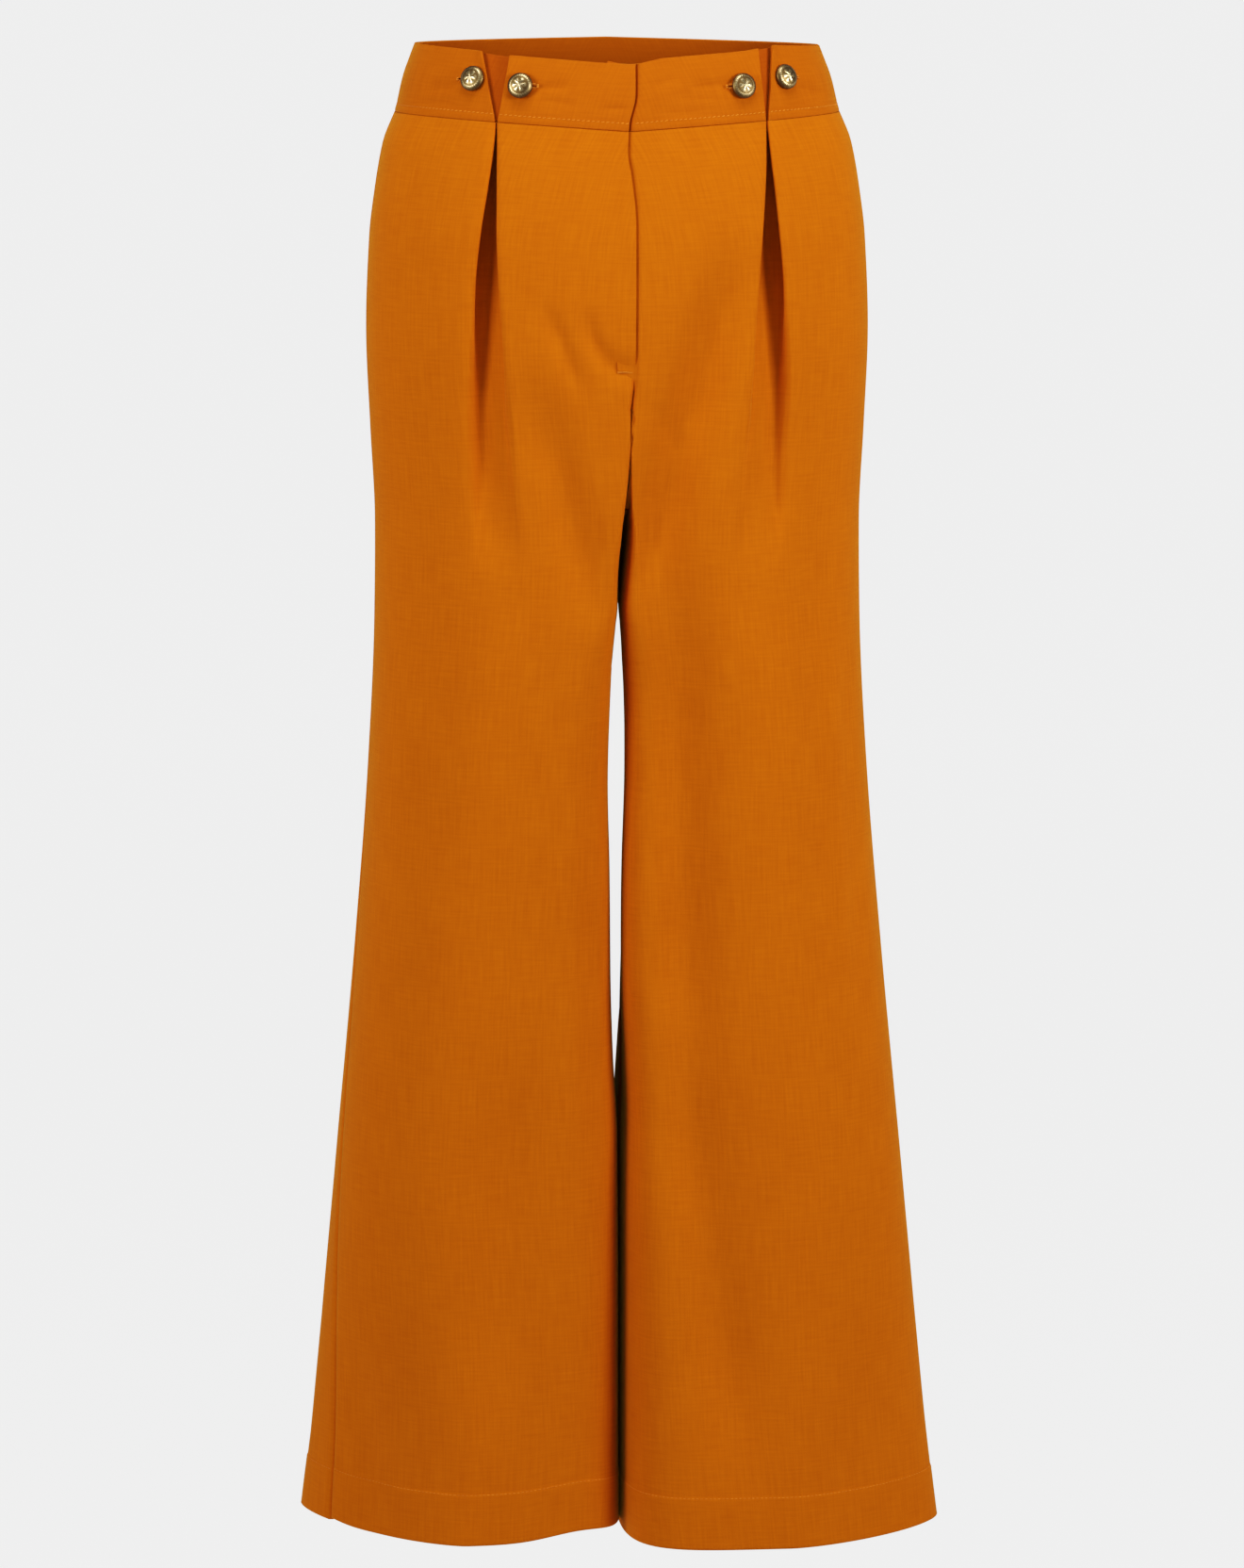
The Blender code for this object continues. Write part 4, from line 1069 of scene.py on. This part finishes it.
bm = bmesh.new()
stitch_height = SEAM_HEIGHT + STITCH_SHARE * (RIM_HEIGHT - SEAM_HEIGHT)
for side in SIDES:
    for spec in BAND_PIECES:
        how = dict(side=side, facing=spec.facing, ends=spec.ends, height=stitch_height, columns=spec.columns)
        middle, _ = band_row(**how)
        outer, _ = band_row(inward=BAND_IN - BAND_CLOTH / 2, **how)
        stitches(bm, outer, middle, BAND_SEWING)
thread_piece("band_topstitch", bm)

bm = bmesh.new()
for side in SIDES:
    for row in (front_row, back_row):
        middle, _ = row(HEM_DEPTH, side, -HEM_STANDS / 2)
        outer, _ = row(HEM_DEPTH, side, -HEM_STANDS / 2 - CLOTH / 2)
        stitches(bm, outer, middle, HEM_SEWING)
thread_piece("hem_stitch", bm)

# The bar tack: short stitches laid side by side across the fly's foot.
TACK_HEIGHT = 0.8238
TACK_REACH = 0.0115
TACK_STANDS = 0.0011
TACK_SEWING = Sewing(0.00050, 0.0016, 0.00044, math.radians(78))
middle, _ = front_row(TACK_HEIGHT, "right")
outer, _ = front_row(TACK_HEIGHT, "right", -CLOTH / 2 - TACK_STANDS)
tacked = (outer[:, 0] > -TACK_REACH) & (outer[:, 1] < 0)
bm = bmesh.new()
stitches(bm, outer[tacked], middle[tacked], TACK_SEWING)
thread_piece("fly_bar_tack", bm)


# The zip's teeth: a coil's turns sewn down the middle of the tape.
TEETH = Sewing(0.0015, 0.0042, 0.0009, math.radians(90))
TEETH_MARGIN = 0.001
TEETH_POINTS = 60
TAPE_MIDDLE = STRIP_COLUMNS // 2
zip_strip = FLY_STRIPS[0]
heights = np.linspace(STRIP_TOP - TEETH_MARGIN, zip_strip.foot + TEETH_MARGIN, TEETH_POINTS)
middle = [strip_row(zip_strip, height)[0][TAPE_MIDDLE] for height in heights]
outer = [strip_row(zip_strip, height, -TAPE / 2)[0][TAPE_MIDDLE] for height in heights]
bm = bmesh.new()
stitches(bm, outer, middle, TEETH)
thread_piece("zip_coil", bm)


# ---------------------------------------------------------------------------
# Buttons and buttonholes. Four domed shank buttons of antique brass, one on each
# side of each notch, pressed with a plain rosette inside a ring of beads. Each one
# is worn through a purled buttonhole that runs away from the notch.

Button = namedtuple("Button", "name side along height")
BUTTONS = (
    Button("button_right_outer", "right", -0.0166, 1.0195),
    Button("button_right_inner", "right", 0.0172, 1.0152),
    Button("button_left_inner", "left", 0.0180, 1.0146),
    Button("button_left_outer", "left", -0.0156, 1.0201),
)
BUTTON_RADIUS = 0.0086
BUTTON_DOME = 0.0042
BUTTON_EDGE = 0.0009
BUTTON_BACK = 0.95
BUTTON_STANDS_OFF = 0.0012
SHANK_RADIUS = 0.0015
BUTTON_STEPS = 96
DOME_RINGS = 30
PETALS = 6
PETAL_RELIEF = 0.00030
PETALS_END = 0.60           # shares of the radius
BEADS = 28
BEAD_RELIEF = 0.00018
BEADS_AT = 0.78
BEADS_WIDE = 0.075
BOSS_WIDE = 0.15
RING_BETWEEN = 0.35         # how much of the beads' ring stands up between two of them
RELIEF_ENDS = 0.92
HOLE_LENGTH = 0.0150
HOLE_WIDTH = 0.0011
HOLE_PAST_SHANK = 0.0024
SLIT_DEPTH = 0.010
FRAME_REACH = 0.006
PURL_SEWING = Sewing(0.00062, 0.0019, 0.00055, math.radians(90))
PURL_PAST_SLIT = 0.36       # share of a purl stitch's length from the slit's edge to its middle
PURL_POINTS = 12
HOLE_TACK = Sewing(0.0012, 0.0014, 0.0006, 0.0)
HOLE_TACK_ROWS = (0.0002, 0.0007, 0.0012)
HOLE_TACK_HALF = 0.0016
HOLE_TACK_RISE = 0.0002
IN_THE_WALL = -0.001        # a place behind the band's face


def band_frame(side, along, height):
    """A matrix at the band's face: X along the waist, Y up, Z straight out of the cloth."""
    nominal = height + SEAM_DIP * towards_middle(read(PLEAT_LINE, side, height))
    line = half_line(nominal, "front", side)
    at = notch_middle(side, nominal, line) + along
    face = BAND_IN - BAND_CLOTH / 2
    level = place(line, [at - FRAME_REACH, at, at + FRAME_REACH], np.full(3, face), True)
    before, here, after = (Vector(point) for point in in_space(side, level, [height] * 3))
    above = place(half_line(nominal + FRAME_REACH, "front", side), [at], [face], True)
    lean = Vector(in_space(side, above, [height + FRAME_REACH])[0]) - here
    across = (after - before).normalized() * -SIDES[side]
    outward = across.cross(lean).normalized()
    up = outward.cross(across)
    return Matrix.Translation(here) @ Matrix((across, up, outward)).transposed().to_4x4()


def dome_relief(radius, turn):
    """How far the pressed pattern stands up: a rosette with a boss in its middle, and a ring of beads."""
    share = radius / BUTTON_RADIUS
    petals = math.cos(PETALS * turn / 2) ** 2 * math.sin(math.pi * min(share / PETALS_END, 1.0)) ** 0.8
    boss = math.exp(-((share / BOSS_WIDE) ** 2))
    bead = RING_BETWEEN + (1 - RING_BETWEEN) * math.cos(BEADS * turn / 2) ** 2
    ring = math.exp(-(((share - BEADS_AT) / BEADS_WIDE) ** 2)) * bead
    return PETAL_RELIEF * (petals + boss) + BEAD_RELIEF * ring


def button_piece(spec):
    """A button turned from its profile, with its pattern pressed into the dome."""
    back, foot = BUTTON_STANDS_OFF, -BAND_CLOTH
    profile = []
    for degrees in np.linspace(0.0, 90.0, DOME_RINGS):
        turn = math.radians(degrees)
        rise = BUTTON_EDGE + (BUTTON_DOME - BUTTON_EDGE) * math.cos(turn)
        profile.append((BUTTON_RADIUS * math.sin(turn), back + rise))
    profile += [
        (BUTTON_RADIUS, back + BUTTON_EDGE * 0.4), (BUTTON_RADIUS * 0.985, back + BUTTON_EDGE * 0.1),
        (BUTTON_RADIUS * BUTTON_BACK, back), (SHANK_RADIUS, back), (SHANK_RADIUS, foot), (0.0, foot),
    ]
    bm = bmesh.new()
    verts = [bm.verts.new((radius, 0.0, z)) for radius, z in profile]
    edges = [bm.edges.new(pair) for pair in zip(verts, verts[1:])]
    bmesh.ops.spin(bm, geom=verts + edges, cent=(0, 0, 0), axis=(0, 0, 1), angle=2 * math.pi,
                   steps=BUTTON_STEPS, use_merge=True)
    bmesh.ops.remove_doubles(bm, verts=bm.verts, dist=0.000002)
    bmesh.ops.recalc_face_normals(bm, faces=bm.faces)
    height_layer = bm.verts.layers.float.new("relief")
    for vertex in bm.verts:
        radius = math.hypot(vertex.co.x, vertex.co.y)
        on_dome = vertex.co.z >= back + BUTTON_EDGE - 1e-6
        relief = dome_relief(radius, math.atan2(vertex.co.y, vertex.co.x)) if on_dome else 0.0
        fades = 1 - float(ease(radius / BUTTON_RADIUS, RELIEF_ENDS, 1.0))
        vertex.co.z += relief * fades
        vertex[height_layer] = relief * fades / (PETAL_RELIEF * 1.1)
    bmesh.ops.transform(bm, matrix=band_frame(spec.side, spec.along, spec.height), verts=bm.verts)
    return piece_from(bm, spec.name + "_brass", antique)


def antique_material():
    """Antique brass: bright where the pattern is rubbed, dark and dull in its hollows."""
    material, nodes, links, shader = new_finish("antique_brass_finish")
    relief = nodes.new("ShaderNodeAttribute")
    relief.attribute_name = "relief"
    where = nodes.new("ShaderNodeTexCoord")
    noise = noise_from(nodes, links, where.outputs["Object"], 700.0, 4.0)
    mixed = nodes.new("ShaderNodeMath")
    mixed.operation = "MULTIPLY_ADD"
    mixed.inputs[1].default_value = 0.5
    links.new(noise.outputs["Fac"], mixed.inputs[0])
    links.new(relief.outputs["Fac"], mixed.inputs[2])
    darker, lighter = (0.28, (0.190, 0.125, 0.052, 1.0)), (0.85, (0.720, 0.570, 0.320, 1.0))
    colour = colour_ramp(nodes, links, mixed.outputs["Value"], (darker, lighter))
    links.new(colour, shader.inputs["Base Color"])
    rough = nodes.new("ShaderNodeMapRange")
    rough.inputs["To Min"].default_value = 0.55
    rough.inputs["To Max"].default_value = 0.26
    links.new(mixed.outputs["Value"], rough.inputs["Value"])
    links.new(rough.outputs["Result"], shader.inputs["Roughness"])
    shader.inputs["Metallic"].default_value = 1.0
    return material


def cut_slit(band, matrix, away):
    """Cuts the buttonhole's slit through the band and leaves the band as a plain mesh."""
    bm = bmesh.new()
    bmesh.ops.create_cube(bm, size=1.0)
    bmesh.ops.scale(bm, verts=bm.verts, vec=(HOLE_LENGTH, HOLE_WIDTH, SLIT_DEPTH))
    shift = away * (HOLE_LENGTH / 2 - SHANK_RADIUS - HOLE_PAST_SHANK)
    bmesh.ops.translate(bm, verts=bm.verts, vec=(shift, 0.0, 0.0))
    bmesh.ops.transform(bm, matrix=matrix, verts=bm.verts)
    cutter = piece_from(bm, "slit")
    cut = band.modifiers.new("slit", "BOOLEAN")
    cut.operation = "DIFFERENCE"
    cut.solver = "EXACT"
    cut.object = cutter
    finished = bpy.data.meshes.new_from_object(band.evaluated_get(bpy.context.evaluated_depsgraph_get()))
    band.modifiers.clear()
    band.data = finished
    bpy.data.objects.remove(cutter)


antique = antique_material()
for spec in BUTTONS:
    where = "side" if spec.along < 0 else "centre"
    away = math.copysign(1.0, spec.along) * -SIDES[spec.side]
    matrix = band_frame(spec.side, spec.along, spec.height)
    cut_slit(bands[where, spec.side], matrix, away)
    piece = button_piece(spec)
    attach(piece, "root")
    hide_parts(spec.name)

    bm = bmesh.new()
    near = -SHANK_RADIUS - HOLE_PAST_SHANK
    far = near + HOLE_LENGTH
    for edge in (-1.0, 1.0):
        across = edge * (HOLE_WIDTH / 2 + PURL_SEWING.length * PURL_PAST_SLIT)
        places = np.linspace(near, far, PURL_POINTS)
        ends = [matrix @ Vector((away * x, across, 0.0)) for x in places]
        behind = [matrix @ Vector((away * x, across, IN_THE_WALL)) for x in places]
        stitches(bm, ends, behind, PURL_SEWING)
    for past in HOLE_TACK_ROWS:
        x = away * (far + past)
        places = (-HOLE_TACK_HALF, 0.0, HOLE_TACK_HALF)
        ends = [matrix @ Vector((x, y, HOLE_TACK_RISE)) for y in places]
        behind = [matrix @ Vector((x, y, IN_THE_WALL)) for y in places]
        stitches(bm, ends, behind, HOLE_TACK)
    thread_piece(spec.name.replace("button", "buttonhole"), bm)


# ---------------------------------------------------------------------------
# Floor, backdrop, light and camera. A pale studio sweep that glows with painted light,
# dimmer in front and brighter behind, two soft boxes in front, a weak lamp overhead and a
# pale surround. The camera stands about where the photographer's must have, a little above
# the rim and to the wearer's right.

FLOOR_DROP = 0.42
SWEEP_WIDE = 9.0
SWEEP_FRONT = -8.0
SWEEP_RADIUS = 2.4
SWEEP_BACK = 9.0
SWEEP_TOP = 6.0
# Painted light: the sweep glows by itself, dimmer towards the front and brighter behind, and so also lights
# the trousers from behind and below.
SHADE_FROM, SHADE_TO = -1.5, 0.2
GLOW, SHADED_GLOW = 0.84, 0.20

paper, paper_nodes, paper_links, pale = new_finish("glowing_paper")
pale.inputs["Base Color"].default_value = (0.05, 0.05, 0.05, 1.0)
pale.inputs["Roughness"].default_value = 1.0
pale.inputs["Specular IOR Level"].default_value = 0.0
pale.inputs["Emission Color"].default_value = (1.0, 1.0, 1.0, 1.0)
place_node = paper_nodes.new("ShaderNodeTexCoord")
depth_node = paper_nodes.new("ShaderNodeSeparateXYZ")
fall_node = paper_nodes.new("ShaderNodeMapRange")
fall_node.interpolation_type = "SMOOTHSTEP"
fall_node.inputs["From Min"].default_value = SHADE_FROM
fall_node.inputs["From Max"].default_value = SHADE_TO
fall_node.inputs["To Min"].default_value = SHADED_GLOW
fall_node.inputs["To Max"].default_value = GLOW
paper_links.new(place_node.outputs["Object"], depth_node.inputs[0])
paper_links.new(depth_node.outputs["Y"], fall_node.inputs["Value"])
paper_links.new(fall_node.outputs["Result"], pale.inputs["Emission Strength"])

profile = [(SWEEP_FRONT, 0.0), (SWEEP_BACK - SWEEP_RADIUS, 0.0)]
for turn in np.linspace(0.0, math.pi / 2, 13)[1:]:
    profile.append((SWEEP_BACK - SWEEP_RADIUS * (1 - math.sin(turn)), SWEEP_RADIUS * (1 - math.cos(turn))))
profile.append((SWEEP_BACK, SWEEP_TOP))
bm = bmesh.new()
bmesh.ops.create_grid(bm, x_segments=1, y_segments=len(profile) - 1, size=1.0)
for vertex in bm.verts:
    y, z = profile[round((vertex.co.y + 1) / 2 * (len(profile) - 1))]
    vertex.co = (vertex.co.x * SWEEP_WIDE, y, z - WAIST_HEIGHT - FLOOR_DROP)
piece_from(bm, "sweep", paper)

world = bpy.data.worlds.new("surround")
world.use_nodes = True
surround = world.node_tree.nodes["Background"]
surround.inputs["Color"].default_value = (0.94, 0.96, 1.0, 1.0)
surround.inputs["Strength"].default_value = 0.15
bpy.context.scene.world = world

Lamp = namedtuple("Lamp", "name place size power")
LAMPS_AIM = (0.0, 0.0, -0.40)
LAMPS = (
    Lamp("soft_box_right", (1.56, -1.40, 0.24), 0.8, 33.0),
    Lamp("soft_box_left", (-1.70, -1.18, 0.24), 0.8, 26.0),
    Lamp("overhead", (0.0, -0.50, 1.15), 0.7, 10.0),
)
for lamp in LAMPS:
    light = bpy.data.lights.new(lamp.name, "AREA")
    light.size = lamp.size
    light.energy = lamp.power
    holder = bpy.data.objects.new(lamp.name, light)
    bpy.context.scene.collection.objects.link(holder)
    holder.location = lamp.place
    aim = Vector(LAMPS_AIM) - holder.location
    holder.rotation_euler = aim.to_track_quat("-Z", "Y").to_euler()

CAMERA_DISTANCE = 3.8
CAMERA_TURN = math.radians(-5.0)
CAMERA_HEIGHT = 1.12        # above the hem
TARGET_HEIGHT = 0.526
TARGET_ASIDE = 0.003
FOCAL_PIXELS = 5810
FRAME_HEIGHT_PIXELS = 1664
camera_data = bpy.data.cameras.new("camera")
camera_data.sensor_width = 36.0
camera_data.lens = FOCAL_PIXELS / FRAME_HEIGHT_PIXELS * camera_data.sensor_width
camera = bpy.data.objects.new("camera", camera_data)
bpy.context.scene.collection.objects.link(camera)
camera.location = (
    CAMERA_DISTANCE * math.sin(CAMERA_TURN),
    -CAMERA_DISTANCE * math.cos(CAMERA_TURN),
    CAMERA_HEIGHT - WAIST_HEIGHT,
)
aside = Vector((math.cos(CAMERA_TURN), math.sin(CAMERA_TURN), 0.0)) * TARGET_ASIDE
target = Vector((0.0, 0.0, TARGET_HEIGHT - WAIST_HEIGHT)) + aside
camera.rotation_euler = (target - camera.location).to_track_quat("-Z", "Y").to_euler()
bpy.context.scene.camera = camera

# The picture's tones fall off into the shade as a camera's do.
TONES = ((0.06, 0.040), (0.12, 0.103), (0.20, 0.205), (0.36, 0.385), (0.58, 0.610), (0.87, 0.87))
view = bpy.context.scene.view_settings
view.view_transform = "Standard"
view.use_curve_mapping = True
tone = view.curve_mapping.curves[3]
for point in TONES:
    tone.points.new(*point)
view.curve_mapping.update()
